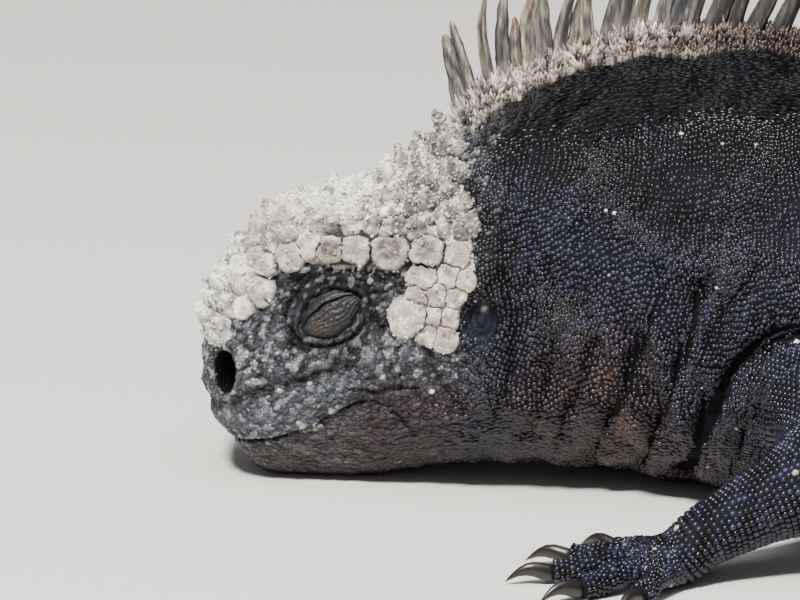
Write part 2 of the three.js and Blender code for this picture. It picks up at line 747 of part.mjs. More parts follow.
for (const limb of [ARM, LEG])
  for (const [side, word] of [[LEFT, "left"], [RIGHT, "right"]]) buildLimb(limb, side, word);

// The model

const FINISHES = {
  skin: { color: 0x24242a, roughness: 0.62, metalness: 0 },
  crusted_skin: { color: 0x8f897e, roughness: 0.85, metalness: 0 },
  eyelid: { color: 0x2b2726, roughness: 0.5, metalness: 0 },
  claw: { color: 0x1b1917, roughness: 0.38, metalness: 0 },
};

function finishOf(name) {
  if (name.includes("claw")) return FINISHES.claw;
  if (name.includes("eye")) return FINISHES.eyelid;
  return name === "head" ? FINISHES.crusted_skin : FINISHES.skin;
}

const iguana = new THREE.Group();
for (const [name, solid] of parts) {
  const mesh = new THREE.Mesh(toGeometry(solid), new THREE.MeshStandardMaterial(finishOf(name)));
  mesh.name = name;
  iguana.add(mesh);
}

export default iguana;
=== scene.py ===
# %% [markdown]
# # A marine iguana, asleep on its chin
# A marine iguana is a sea-going lizard with a blunt head. Its crown carries a helmet of horny cones that
# dried sea salt turns white, and a fringe of tall spines runs down the nape and back. The lesson dresses a
# plain CAD model of it: one skin, then scales, plates, salt, spines, lids and claws, and then the light.
# All shapes are worked out in millimetres, with +Z up and the snout towards -X, and are scaled to metres at
# the end.

import json
import math

import bmesh
import bpy
import numpy as np
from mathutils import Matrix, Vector
from mathutils.bvhtree import BVHTree

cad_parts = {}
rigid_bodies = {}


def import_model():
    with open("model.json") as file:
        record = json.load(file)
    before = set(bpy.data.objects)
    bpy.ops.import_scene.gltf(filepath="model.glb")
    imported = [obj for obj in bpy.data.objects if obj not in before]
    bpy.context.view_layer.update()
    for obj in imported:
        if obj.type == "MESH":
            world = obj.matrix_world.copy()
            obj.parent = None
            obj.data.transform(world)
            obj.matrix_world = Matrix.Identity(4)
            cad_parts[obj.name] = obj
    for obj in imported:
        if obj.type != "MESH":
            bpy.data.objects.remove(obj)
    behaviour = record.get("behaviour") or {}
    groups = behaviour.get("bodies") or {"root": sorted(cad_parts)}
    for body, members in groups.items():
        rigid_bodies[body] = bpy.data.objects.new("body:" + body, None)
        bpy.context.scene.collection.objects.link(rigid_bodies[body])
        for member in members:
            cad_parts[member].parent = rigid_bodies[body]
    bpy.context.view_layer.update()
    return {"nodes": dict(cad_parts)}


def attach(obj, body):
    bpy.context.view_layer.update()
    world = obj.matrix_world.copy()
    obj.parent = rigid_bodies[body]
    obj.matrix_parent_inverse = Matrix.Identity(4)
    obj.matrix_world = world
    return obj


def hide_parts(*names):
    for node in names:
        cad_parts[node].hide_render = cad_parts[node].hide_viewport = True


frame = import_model()
MM = 0.001
DEGREE = math.pi / 180
LEFT = -1
RIGHT = 1

# %% [markdown]
# ## The body as a table of cross-sections
# A lizard's trunk is one long tube, so it can be drawn as a row of slices. Each row below gives a slice's
# distance from the snout, its half width, the heights of its top, its underside and its widest place, and
# how boxy it is above and below. Sculpting by hand is the other way to do it, but a table can be measured
# and changed.

# %% Tables of the body
SNOUT_X = -250
BODY_LENGTH = 1045
HEADING = [[0, 0], [225, 0], [330, 7], [430, 15], [560, 8], [720, -14], [880, -30], [1045, -18]]
SECTIONS = [
    [0, 5, 33, 24, 28, 2.2, 2.2], [1, 10.5, 39, 20.5, 29, 2.3, 2.3], [3, 14.8, 46, 17, 29, 2.4, 2.5],
    [6, 17.8, 53, 12.8, 29, 2.5, 2.7], [10, 19.8, 60, 6, 29, 2.6, 2.8], [15, 21.4, 67, 0.4, 30, 2.7, 2.7],
    [21, 22.8, 72, -1.4, 31, 2.8, 2.6], [28, 24, 75, -1.6, 33, 2.9, 2.6],
    [36, 25.2, 76.5, -1.6, 35, 3, 2.6], [46, 27.6, 78.5, -1.2, 36, 2.9, 2.5],
    [54, 30, 80.5, 0.6, 38, 2.7, 2.4], [62, 32.4, 84.5, 1.8, 39, 2.5, 2.3],
    [69, 34.4, 93, 2.6, 41, 2.2, 2.3], [78, 36, 101, 3.2, 43, 2, 2.3],
    [92, 38.5, 108.5, 3.4, 45, 1.95, 2.3], [108, 42, 113.5, 2.2, 46, 1.9, 2.4],
    [126, 49, 116, 0.2, 44, 1.9, 2.5], [146, 57, 115.5, -1.6, 41, 1.9, 2.6],
    [170, 63, 113.5, -2, 40, 1.95, 2.8], [205, 68, 112, -2, 39, 2, 3], [250, 70, 109, -2, 38, 2, 3],
    [290, 66, 102, -2, 37, 2, 2.9], [330, 56, 90, -2, 35, 2, 2.8], [365, 45, 76, -1.6, 32, 2, 2.6],
    [395, 34, 62, -1.4, 28, 2, 2.5], [425, 26, 51, -1.2, 23, 2, 2.4], [455, 21, 44, -1, 19, 1.95, 2.4],
    [500, 17.5, 38, -1, 16, 1.9, 2.3], [600, 13.5, 31, -0.8, 13, 1.9, 2.3],
    [720, 9.8, 24, -0.8, 10, 1.9, 2.3], [850, 6.4, 16.5, -0.7, 7, 1.9, 2.3],
    [960, 3.8, 10, -0.6, 4.2, 1.9, 2.3], [1025, 2.1, 5.4, -0.5, 2.2, 2, 2.2],
    [1045, 1, 2.8, -0.3, 1.2, 2, 2],
]
# Distance, spine height over the skin, root width, lean to the rear in degrees, spacing of the spines,
# and the ridge's height and half width
CREST = [
    [70.5, 22, 4.6, -14, 6.4, 7, 4.2], [84, 23, 5.2, -8, 6.6, 5, 4.2], [104, 27, 5.8, 4, 7.2, 5, 4.4],
    [132, 28, 6.2, 18, 7.8, 5, 4.6], [165, 24, 6.2, 30, 8.4, 4.4, 4.4], [210, 17, 6, 34, 9, 3.6, 4],
    [300, 12, 5.8, 38, 10, 2.6, 3.4], [400, 9, 5.6, 42, 11, 1.8, 2.8], [460, 8.5, 6.2, 44, 13, 1.4, 2.4],
    [600, 7.5, 6.8, 46, 15, 1.2, 2], [760, 6, 6.6, 48, 16, 1, 1.6], [900, 4, 5, 50, 16, 0.7, 1],
    [1015, 1.8, 3, 52, 16, 0.4, 0.5],
]
print(len(SECTIONS), "slices,", len(CREST), "rows of crest")


# %% A smooth curve through a table
def track(rows):
    table = np.array(rows, float)
    at, values = table[:, 0], table[:, 1:]
    steps = np.diff(values, axis=0) / np.diff(at)[:, None]
    before, after = steps[:-1], steps[1:]
    total = np.where(before + after == 0, 1, before + after)
    both = np.where(before * after > 0, 2 * before * after / total, 0)
    slopes = np.vstack([steps[:1], both, steps[-1:]])

    def curve(distance):
        d = np.clip(np.atleast_1d(np.asarray(distance, float)), at[0], at[-1])
        i = np.clip(np.searchsorted(at, d) - 1, 0, len(at) - 2)
        h = (at[i + 1] - at[i])[:, None]
        t = (d - at[i])[:, None] / h
        a = 2 * t**3 - 3 * t**2 + 1
        rise = (t**3 - 2 * t**2 + t) * h * slopes[i] + (t**3 - t**2) * h * slopes[i + 1]
        return (a * values[i] + (1 - a) * values[i + 1] + rise).T

    return curve


section_at = track(SECTIONS)
crest_at = track(CREST)
heading_at = track(HEADING)
station = np.arange(0, BODY_LENGTH + 1)
turns = heading_at(station[:-1] + 0.5)[0] * DEGREE
mid_x = SNOUT_X + np.concatenate([[0], np.cumsum(np.cos(turns))])
mid_y = np.concatenate([[0], np.cumsum(np.sin(turns))])


def place(distance, offset, height):
    turn = heading_at(distance)[0] * DEGREE
    x = np.interp(distance, station, mid_x) - offset * np.sin(turn)
    y = np.interp(distance, station, mid_y) + offset * np.cos(turn)
    return np.stack([x, y, height + 0 * x], axis=-1)


print("tail tip at", place(np.array([BODY_LENGTH]), 0, 0)[0].round(1), "mm")

# %% [markdown]
# ## Folds, lips and hollows
# The skin of the head is not a plain tube. Brow and cheek swell, a furrow runs over the upper lip, the
# mouth closes in a sharp line, the ear is a shallow dish and the nostril a deep pit. Each of these is a
# small function of the distance from the snout and of the height, and their sum says how far the skin
# stands out at a place. Image-based displacement could do it too, but then the folds could not be placed by
# measurement.

# %% Where the features are, in millimetres
MOUTH_LINE = [[-6, 11], [10, 11.6], [20, 13.2], [28, 16.8], [34, 20.2], [40, 24], [45, 25.8]]
LIP_FURROW = [[0, 20], [5, 21.5], [14, 25.2], [21, 28], [31, 32], [44, 36]]
EYE = {"s": 34.8, "z": 49.0, "long": 9.4, "high": 5.9, "deep": 5.2, "tilt": 33, "proud": 2.3}
NOSTRIL = {"s": 6.3, "z": 31.2, "long": 2.7, "high": 5.6, "depth": 6.4}
EAR = {"s": 74.6, "z": 49.5, "long": 5.8, "high": 7.6, "depth": 3.2}
# Folds and ridges as lines: points of distance and height, then how far they rise and how wide they are
CREASES = [
    ([[25, 52], [29, 58], [35, 61], [43, 61.5], [49, 59]], -1.1, 0.8),
    ([[22.5, 48], [25.5, 56.5], [33, 62.6], [41, 64]], -0.8, 0.7),
    ([[23.5, 45.5], [27, 40.5], [34, 39.8], [41, 43], [47, 50]], -1.1, 0.8),
    ([[23, 41.5], [29, 37], [37, 37.2], [44, 41.5], [49, 47]], -0.7, 0.8),
    ([[44, 54.5], [49, 56], [54, 58]], -0.7, 0.6),
    ([[43.5, 52.5], [49, 52], [53, 50.5]], -0.6, 0.6),
    ([[26, 34.4], [40, 39.4], [53, 46]], 1.2, 1.7),
    ([[13, 40], [19, 36.5], [26, 34.4]], 0.6, 1.5),
    ([[15, 57], [16.5, 48], [14.5, 41]], -0.8, 0.9),
    ([[20, 60], [21, 52], [18, 44]], -0.6, 0.9),
    ([[40, 28.9], [46, 28.4], [52, 30], [58, 30.4]], -0.9, 0.6),
    ([[43, 31.6], [50, 32.6], [57, 35]], -0.5, 0.6),
    ([[46, 25.5], [52, 23], [57, 16]], -0.7, 1.2),
    ([[47, 47.5], [51, 44.5]], -1.0, 1.1),
    ([[60, 42], [64, 33], [70, 25]], -0.7, 1.8),
    ([[80, 62], [83, 48], [82, 34], [78, 22]], -1.0, 2.0),
    ([[92, 66], [95, 48], [90, 28], [84, 12]], -0.8, 2.4),
]
# Deep folds between neck and arm, pressed in after the limbs are joined on
DEEP_FOLDS = [
    ([[172, 57], [160, 54.5], [149, 51.5], [141, 43.5], [134.5, 32.3], [131.5, 20.5], [128.3, 7]], -4.6, 2.4),
    ([[152, 40], [146, 32], [142, 22], [140, 10]], -1.4, 2.0),
    ([[131, 62], [126, 42], [121, 26], [117, 8]], -2.0, 2.2),
    ([[118, 54], [113, 36], [107, 20], [103, 8]], -1.9, 2.4),
    ([[104, 46], [99, 30], [94, 12]], -1.2, 2.2),
    ([[146, 70], [138, 58], [133, 48]], -1.2, 2.6),
]
NECK_WAVES = {"from": 96, "to": 140, "pitch": 12, "depth": 1.5, "lean": 0.32, "z": 36, "reach": 30}
COAT_DEPTH = 0.4
RELIEF_END = 175
mouth_height = track(MOUTH_LINE)
furrow_height = track(LIP_FURROW)
print(len(CREASES), "creases and", len(DEEP_FOLDS), "deep folds")


# %% Soft bumps, soft steps, distances and slow waves
def bell(x):
    return np.exp(-x * x)


def step(x):
    t = np.clip(x, 0, 1)
    return t * t * (3 - 2 * t)


def from_line(s, z, line):
    best = np.full(np.shape(s), 1e9)
    for (s0, z0), (s1, z1) in zip(line, line[1:]):
        run = (s1 - s0) ** 2 + (z1 - z0) ** 2
        t = np.clip(((s - s0) * (s1 - s0) + (z - z0) * (z1 - z0)) / run, 0, 1)
        best = np.minimum(best, np.hypot(s - s0 - t * (s1 - s0), z - z0 - t * (z1 - z0)))
    return best


def wobble(points, size, seed, waves=14):
    draws = np.random.default_rng(seed)
    ways = draws.normal(size=(waves, 3))
    ways /= np.linalg.norm(ways, axis=1)[:, None] * size * draws.uniform(0.7, 1.5, (waves, 1))
    phases = draws.uniform(0, 2 * np.pi, waves)
    return np.sin(points @ ways.T * 2 * np.pi + phases).sum(axis=-1) / math.sqrt(waves / 2)


print("a soft step has climbed", step(0.25), "after a quarter of its run")

# %% Outlines of the dark band, the eye, the nostril and the ear
# Lower border of the dark band under the crest, as distance and height
CREST_FOOT = np.array([[62, 89], [80, 95], [96, 99], [118, 104], [161, 104], [200, 101]])


def under_crest(s, z):
    """1 in the dark fibrous band along the foot of the crest, 0 outside it."""
    foot = np.interp(s, CREST_FOOT[:, 0], CREST_FOOT[:, 1])
    return step((z - foot + 6) / 10) * step((s - 61) / 5) * step((205 - s) / 40)


def eye_places(s, z):
    turn = EYE["tilt"] * DEGREE
    along, up = s - EYE["s"], z - EYE["z"]
    return along * math.cos(turn) + up * math.sin(turn), up * math.cos(turn) - along * math.sin(turn)


def eye_reach(s, z):
    """0 in the middle of the almond of the eye and 1 on its border, which is where two circles cross."""
    along, up = eye_places(s, z)
    radius = (EYE["long"] ** 2 + EYE["high"] ** 2) / (2 * EYE["high"])
    middle = radius - EYE["high"]
    far = np.maximum(np.hypot(along, up + middle), np.hypot(along, up - middle))
    return (far - middle) / EYE["high"]


def spot_reach(spot, s, z):
    return np.hypot((s - spot["s"]) / spot["long"], (z - spot["z"]) / spot["high"])


print("the middle of the eye is", float(eye_reach(EYE["s"], EYE["z"])), "of the way to its border")


# %% How far the skin stands out
def relief(s, z):
    """Rise of the skin over the plain tube in millimetres: brow, cheek, eye, lips, nostril, ear, folds."""
    out = 1.6 * bell((s - 40) / 17) * bell((z - 65) / 5) + 1.4 * bell((s - 52) / 12) * bell((z - 38) / 9)
    reach = eye_reach(s, z)
    out += 0.9 * bell((reach - 1.2) / 0.12) - 2.0 * bell(np.maximum(reach - 0.7, 0) / 0.28)
    out += 0.6 * bell((reach - 1.53) / 0.12) + 0.4 * bell((reach - 1.87) / 0.13)
    fade = np.clip((49 - s) / 10, 0, 1)
    over = z - mouth_height(s)[0]
    out -= fade * 1.1 * bell((z - furrow_height(s)[0]) / 2.4)
    lip, slit, tucked = bell((over - 5) / 3.4), bell(over / 0.6), step(-over / 1.5)
    out += fade * 1.0 * lip - fade * 1.5 * slit - fade * 0.5 * tucked
    out -= NOSTRIL["depth"] * step((1.1 - spot_reach(NOSTRIL, s, z)) / 0.35)
    out += 0.7 * bell((spot_reach(NOSTRIL, s, z) - 1.45) / 0.25)
    out -= EAR["depth"] * step((1.15 - spot_reach(EAR, s, z)) / 0.75)
    out += 0.8 * bell((spot_reach(EAR, s, z) - 1.35) / 0.2) * step((EAR["s"] - s) / 6 + 0.5)
    for line, rise, width in CREASES:
        out += rise * bell(from_line(s, z, line) / width)
    waves = NECK_WAVES
    middle = (waves["from"] + waves["to"]) / 2
    share = bell((s - middle) / (waves["to"] - middle)) * bell((z - waves["z"]) / waves["reach"])
    return out + share * waves["depth"] * np.sin((s + z * waves["lean"]) / waves["pitch"] * 2 * np.pi)


print("the upper lip stands", relief(np.array([20.0]), np.array([19.0])).round(2), "mm out over the mouth")


# %% From a distance and an angle to a place on the body
def signed_power(x, power):
    return np.sign(x) * np.abs(x) ** power


def bare_skin(s, angle, grow=-COAT_DEPTH):
    half, top, bottom, wide, box_top, box_bottom = section_at(s)
    up = np.cos(angle)
    boxy = 2 / np.where(up > 0, box_top, box_bottom)
    reach = np.where(up > 0, top + grow - wide, wide - bottom + grow)
    return place(s, (half + grow) * signed_power(np.sin(angle), boxy), wide + reach * signed_power(up, boxy))


def unit(v):
    return v / np.maximum(np.linalg.norm(v, axis=-1, keepdims=True), 1e-9)


def skin_normal(s, angle):
    along = bare_skin(s + 0.5, angle) - bare_skin(np.maximum(s - 0.5, 0), angle)
    around = bare_skin(s, angle + 0.02) - bare_skin(s, angle - 0.02)
    return unit(np.cross(along, around))


def ridge_rise(s, angle):
    half = section_at(s)[0]
    height, width = crest_at(s)[4:6]
    aside = np.abs(half * np.sin(angle))
    front = step((s - 66.5) / 2.5)
    profile = step((1.25 - aside / width) / 0.9) * (np.cos(angle) > 0)
    return front * height * 0.8 * profile


print("half way round, the neck is", bare_skin(np.array([110.0]), np.array([1.57]))[0].round(1))


# %% The skin with its folds and cracks
def skin(s, angle):
    points = bare_skin(s, angle)
    normals = skin_normal(s, angle)
    folded = np.where(s < RELIEF_END, relief(s, points[:, 2]) * step((RELIEF_END - s) / 12), 0)
    folded = folded + 0.5 * wobble(points, 26, 3) * step((s - 90) / 40) * np.minimum(section_at(s)[0] / 40, 1)
    folded = folded + 0.2 * wobble(points, 5, 4) * step((140 - s) / 30)
    wavy = points[:, 2] * 2.1 + 1.3 * wobble(points, 11, 6)
    folded = folded + 0.55 * wobble(points, 15, 7) * step((s - 66) / 20) * step((200 - s) / 40)
    folded = folded + 0.36 * np.sin(wavy) * under_crest(s, points[:, 2])
    cracks = bell(wobble(points, 5.5, 19) / 0.13) * step((66 - s) / 10) * step((points[:, 2] - 22) / 8)
    folded = folded - 0.4 * cracks
    folded = folded + 0.16 * wobble(points, 2.2, 5) * step((70 - s) / 20) * step((points[:, 2] - 14) / 12)
    points = points + normals * folded[:, None]
    points[:, 2] += ridge_rise(s, angle)
    points[:, 2] = np.maximum(points[:, 2], 0.25)
    return points


print("top of the nape at", skin(np.array([90.0]), np.array([0.0]))[0].round(1), "mm")

# %% [markdown]
# ## One skin for the whole animal
# A flat grid is made first, a cell for every small patch of skin, with small cells on the face and large
# ones on the tail. The face's cells are then split once, and those of the nostrils and round the eyes once
# again, and every corner is rolled onto the body. The grid's two long edges meet under the belly and are
# welded. Remeshing a sculpt would give cells of one size and lose the thin tail.

# %% How fine the grid is
AROUND = 132


def spread(weights, ends, count):
    at = np.linspace(*ends, 4000)
    total = np.concatenate([[0], np.cumsum((weights(at[1:]) + weights(at[:-1])) / 2)])
    return np.interp(np.linspace(0, total[-1], count), total, at)


def fineness_along(s):
    return 1 / (1.15 + 2.6 * step((s - 90) / 90) + 3.6 * step((s - 420) / 250)) + 2.2 * bell(s / 2.5)


def fineness_around(angle):
    return 1 + 2.4 * bell(angle / 0.16) + 1.1 * bell((np.abs(angle) - 1.65) / 0.5)


stations = spread(fineness_along, (0, BODY_LENGTH), 330)
angles = spread(fineness_around, (-math.pi, math.pi), AROUND + 1)
face_step = np.diff(stations[:90]).mean().round(2)
print(len(stations), "stations of", AROUND, "corners, from", face_step, "mm apart")

# %% Small helpers for bmesh
def corners(made):
    return np.array([v.co[:] for v in made.verts])


def turn_outward(made):
    bmesh.ops.recalc_face_normals(made, faces=made.faces)
    if made.calc_volume(signed=True) < 0:
        bmesh.ops.reverse_faces(made, faces=made.faces)


def shade_smooth(made):
    for face in made.faces:
        face.smooth = True


def to_mesh(made, name):
    mesh = bpy.data.meshes.new(name)
    made.to_mesh(mesh)
    made.free()
    return mesh


print("the flat grid will have", (len(stations) - 1) * AROUND, "cells")

# %% The grid, split on the face
FACE_END = 90
FACE_MIDDLE = 1.6
FACE_REACH = 0.85
bm = bmesh.new()
bmesh.ops.create_grid(bm, x_segments=len(stations) - 1, y_segments=AROUND, size=0.5)


def grid_place(co):
    s = np.interp((co[:, 0] + 0.5) * (len(stations) - 1), np.arange(len(stations)), stations)
    angle = np.interp((co[:, 1] + 0.5) * AROUND, np.arange(AROUND + 1), angles)
    return s, angle


def on_face_part(s, angle):
    return (s < FACE_END) & (np.abs(np.abs(angle) - FACE_MIDDLE) < FACE_REACH)


def split_cells(made, chosen):
    made.verts.index_update()
    edges = [e for e in made.edges if all(chosen[v.index] for v in e.verts)]
    bmesh.ops.subdivide_edges(made, edges=edges, cuts=1, use_grid_fill=True)


s, angle = grid_place(corners(bm))
split_cells(bm, on_face_part(s, angle))
# The nostrils and the folds round the eyes need cells finer still
s, angle = grid_place(corners(bm))
z = bare_skin(s, angle)[:, 2]
on_feature = on_face_part(s, angle) & ((spot_reach(NOSTRIL, s, z) < 1.7) | (eye_reach(s, z) < 1.9))
split_cells(bm, on_feature)
print(len(bm.faces), "cells after splitting")

# %% Rolling the grid onto the body
s, angle = grid_place(corners(bm))
rolled = skin(s, angle) * MM
for vert, co in zip(bm.verts, rolled):
    vert.co = co
bmesh.ops.remove_doubles(bm, verts=bm.verts, dist=1e-6)
rims = [e for e in bm.edges if e.is_boundary]
caps = bmesh.ops.edgeloop_fill(bm, edges=rims)["faces"]
bmesh.ops.poke(bm, faces=caps)
turn_outward(bm)
trunk = to_mesh(bm, "trunk")
print("trunk", len(trunk.polygons), "faces")

# %% [markdown]
# ## Limbs
# The stout arms and legs splay out sideways and fold back, so that palms and soles lie flat. Each limb is a
# tube along a curved path, and so is each toe. A curve with a bevel would give round tubes only, and here a
# palm is wide and flat, so the tubes are made like the trunk, by rolling a grid round a path.

# %% A tube along a path
# Share of its length over which a tube rounds off at the root, and how small the square of its width gets
ROOT_SHARE = 0.04
TIP_LEAST = 0.0004


def tube(path, sizes, rings, sides, tip_share):
    path, sizes = np.array(path, float), np.array(sizes, float)
    run = np.concatenate([[0], np.cumsum(np.linalg.norm(np.diff(path, axis=0), axis=1))])
    line = track(np.column_stack([run, path, sizes]))
    made = bmesh.new()
    bmesh.ops.create_grid(made, x_segments=rings, y_segments=sides, size=0.5)
    co = corners(made)
    u, turn = co[:, 0] + 0.5, (co[:, 1] + 0.5) * 2 * np.pi
    at = u * run[-1]
    x, y, z, wide, high = line(at)
    ahead = unit((np.array(line(at + 0.5)) - np.array(line(at - 0.5)))[:3].T)
    last = at > run[-1] - 0.6
    ahead[last] = unit(np.array(line([run[-1]])[:3].T) - np.array(line([run[-1] - 0.6])[:3].T))
    across = unit(np.cross(ahead, [0, 0, 1]))
    over = np.cross(across, ahead)
    tip, root = np.clip((1.0 - u) / tip_share, TIP_LEAST, 1), np.clip(u / ROOT_SHARE, TIP_LEAST, 1)
    closing = np.sqrt(tip) * np.sqrt(root)
    points = np.stack([x, y, z], axis=-1)
    aside = across * (wide * closing * np.cos(turn))[:, None]
    points += aside + over * (high * closing * np.sin(turn))[:, None]
    points[:, 2] = np.maximum(points[:, 2], 0.3 + 0.02 * np.cos(turn))
    for vert, place_of in zip(made.verts, points * MM):
        vert.co = place_of
    bmesh.ops.remove_doubles(made, verts=made.verts, dist=2e-6)
    holes = [e for e in made.edges if e.is_boundary]
    if holes:
        bmesh.ops.edgeloop_fill(made, edges=holes)
    turn_outward(made)
    return to_mesh(made, "tube"), line, run[-1]


print("tubes narrow to", math.sqrt(TIP_LEAST), "of their width before they close")

# %% Sizes of the limbs
ARM = {
    "name": "arm", "claw": "hand_claw", "root": [-88, 34, 40], "bend": [-86, 87, 26], "wrist": [-120, 98, 11],
    "sizes": [[21, 21], [18, 18], [13.5, 13], [13.2, 12.4], [10.4, 9], [8.8, 7.3]], "palm": [17, 13.2, 5.2],
    "heading": 172, "toes": [[48, 13], [24, 20], [2, 24], [-22, 22], [-50, 16]], "claw_length": 11,
    "shift": [7, -2, 0], "inner": 161,
}
LEG = {
    "name": "leg", "claw": "foot_claw", "root": [104, 30, 36], "bend": [50, 98, 34], "wrist": [104, 122, 12],
    "sizes": [[26, 26], [22, 22], [16.5, 16], [16.4, 15.4], [12.4, 11], [9.8, 8.3]], "palm": [26, 14.7, 6.2],
    "heading": 148, "toes": [[46, 14], [22, 23], [2, 33], [-18, 41], [-52, 24]], "claw_length": 12,
    "shift": [9, 3, 0], "inner": 376,
}
RIGHT_TURN = 6
TOE_THICK = 3.6
CLAW_THICK = 2.3
GAP = 0.3
toe_tips = []
limb_tubes = []


def limb_joint(limb, name, side):
    shift = np.array(limb["shift"]) if side == RIGHT and name != "root" else np.zeros(3)
    return (np.array(limb[name], float) + shift) * [1, side, 1]


def limb(plan, side):
    root, bend, wrist = (limb_joint(plan, name, side) for name in ("root", "bend", "wrist"))
    heading = (plan["heading"] - (RIGHT_TURN if side == RIGHT else 0)) * DEGREE
    forward = np.array([math.cos(heading), side * math.sin(heading), 0])
    across = np.cross([0, 0, 1], forward) * side
    long, wide, high = plan["palm"]
    # The tube starts on the body's own middle line, so that no end of it shows at the hip or the shoulder
    start = np.ravel(place(plan["inner"], 0, root[2]))[:3]
    upper = [start] + [root + (bend - root) * t for t in (0, 0.45, 0.86)]
    lower = [bend + (wrist - bend) * t for t in (0.22, 0.62, 1)]
    palm = [wrist + forward * long * t for t in (0.5, 0.88, 1.14)]
    for spot, lift in zip(palm, (high - 0.2, high - 0.8, high * 0.62)):
        spot[2] = lift
    flat_end = [[wide * 0.86, high + 0.7], [wide, high - 0.2], [wide * 0.8, high * 0.62]]
    sizes = [plan["sizes"][0]] + plan["sizes"] + flat_end
    limb_tubes.append((*tube(upper + lower + palm, sizes, 80, 30, 0.03), plan["name"], side))
    for i, (turn, length) in enumerate(plan["toes"]):
        aside = i / 2 - 1
        way = heading + turn * DEGREE
        direction = np.array([math.cos(way), side * math.sin(way), 0])
        knuckle = wrist + forward * long * (0.92 - aside**2 * 0.28) - across * aside * wide * 0.72
        shares = [(-0.22, 0.2), (0.12, 1.0), (0.4, 1.4), (0.75, -0.3), (1, -0.7)]
        path = [knuckle + direction * length * t for t, _ in shares]
        for spot, (_, lift) in zip(path, shares):
            spot[2] = TOE_THICK + lift
        thick = [[TOE_THICK * v, TOE_THICK * v] for v in (1.05, 1.05, 0.92, 0.86, 0.76)]
        limb_tubes.append((*tube(path, thick, 18, 14, 0.05), plan["name"] + "_toe", side))
        word = "left" if side == LEFT else "right"
        toe_tips.append((f"{plan['claw']}_{word}_{i + 1}", path[-1], direction, plan["claw_length"]))


for side in (LEFT, RIGHT):
    limb(ARM, side)
    limb(LEG, side)
print(len(limb_tubes), "tubes,", len(toe_tips), "toes")

# %% [markdown]
# ## Joining limbs and trunk
# Where an arm leaves the chest there is no line: the skin runs on. A Boolean union makes one closed surface
# of all tubes, and the corners where they meet are then smoothed until they look like armpits and webs of
# skin. A remesh would join them too, but it would blur the lips and the nostrils. The deep folds between
# neck and arm are pressed in last, because they run across the joint.

# %% The union
def add_object(name, mesh):
    made = bpy.data.objects.new(name, mesh)
    bpy.context.scene.collection.objects.link(made)
    return made


body = add_object("iguana_skin", trunk)
helpers = bpy.data.collections.new("limb_helpers")
bpy.context.scene.collection.children.link(helpers)
for i, (mesh, *_) in enumerate(limb_tubes):
    helpers.objects.link(bpy.data.objects.new(f"limb_{i}", mesh))
union = body.modifiers.new("union", "BOOLEAN")
union.operation = "UNION"
union.operand_type = "COLLECTION"
union.collection = helpers
union.solver = "MANIFOLD"
depsgraph = bpy.context.evaluated_depsgraph_get()
joined_mesh = bpy.data.meshes.new_from_object(body.evaluated_get(depsgraph))
body.modifiers.clear()
for helper in list(helpers.objects):
    bpy.data.objects.remove(helper)
bpy.data.collections.remove(helpers)


def triangles(mesh):
    return sum(len(p.vertices) - 2 for p in mesh.polygons)


print("union has", len(joined_mesh.vertices), "corners and", triangles(joined_mesh), "triangles")

# %% Smoothing where the tubes meet
def tree_of(mesh):
    return BVHTree.FromPolygons([v.co for v in mesh.vertices], [p.vertices[:] for p in mesh.polygons])


BLEND = 7 * MM
MEETING_FROM, MEETING_TO = -0.165, 0.2
SMOOTHINGS = 14
bm = bmesh.new()
bm.from_mesh(joined_mesh)
trunk_tree = tree_of(trunk)
limb_trees = [(tree_of(mesh), kind) for mesh, _, _, kind, _ in limb_tubes]
meeting = []
for vert in bm.verts:
    if not MEETING_FROM <= vert.co.x <= MEETING_TO:
        continue
    near = 0
    if trunk_tree.find_nearest(vert.co, BLEND)[0] is not None:
        near += 1
    for tree, kind in limb_trees:
        reach = BLEND if "toe" not in kind else BLEND * 0.3
        if tree.find_nearest(vert.co, reach)[0] is not None:
            near += 1
    if near > 1:
        meeting.append(vert)
for _ in range(SMOOTHINGS):
    bmesh.ops.smooth_vert(bm, verts=meeting, factor=0.5, use_axis_x=True, use_axis_y=True, use_axis_z=True)
bmesh.ops.dissolve_degenerate(bm, dist=1e-6, edges=bm.edges)
shade_smooth(bm)
bm.normal_update()


def fold_depth(points):
    """How far the deep folds are pressed in at points given in millimetres (negative is inward)."""
    pressed = np.zeros(len(points))
    for line, rise, width in DEEP_FOLDS:
        pressed += rise * bell(from_line(points[:, 0] - SNOUT_X, points[:, 2], line) / width)
    aside = np.abs(points[:, 1])
    return pressed * step((aside - 20) / 10) * step((76 - aside) / 10)


spots = corners(bm) / MM
outward = np.array([v.normal[:] for v in bm.verts])
for vert, co in zip(bm.verts, (spots + outward * fold_depth(spots)[:, None]) * MM):
    vert.co = co
skin_tree = BVHTree.FromBMesh(bm)
body.data = to_mesh(bm, "iguana_skin")
print(len(meeting), "corners smoothed;", triangles(body.data), "triangles of skin")

# %% [markdown]
# ## Colour that follows the animal
# The markings are functions of place: a grey, dusty face, a helmet white with salt, a neck close to black
# with a blue cast, brown low on the neck. Painting an image by hand is the other way, but then every piece
# would need its own. Here skin, scales and plates all ask the same function, so a marking runs on from one
# to the other. The result is kept on each corner as a colour attribute named Tint.

# %% Colours as paint
def linear(hex_colour):
    parts = np.array([int(hex_colour[i:i + 2], 16) / 255 for i in (1, 3, 5)])
    return np.where(parts <= 0.04045, parts / 12.92, ((parts + 0.055) / 1.055) ** 2.4)


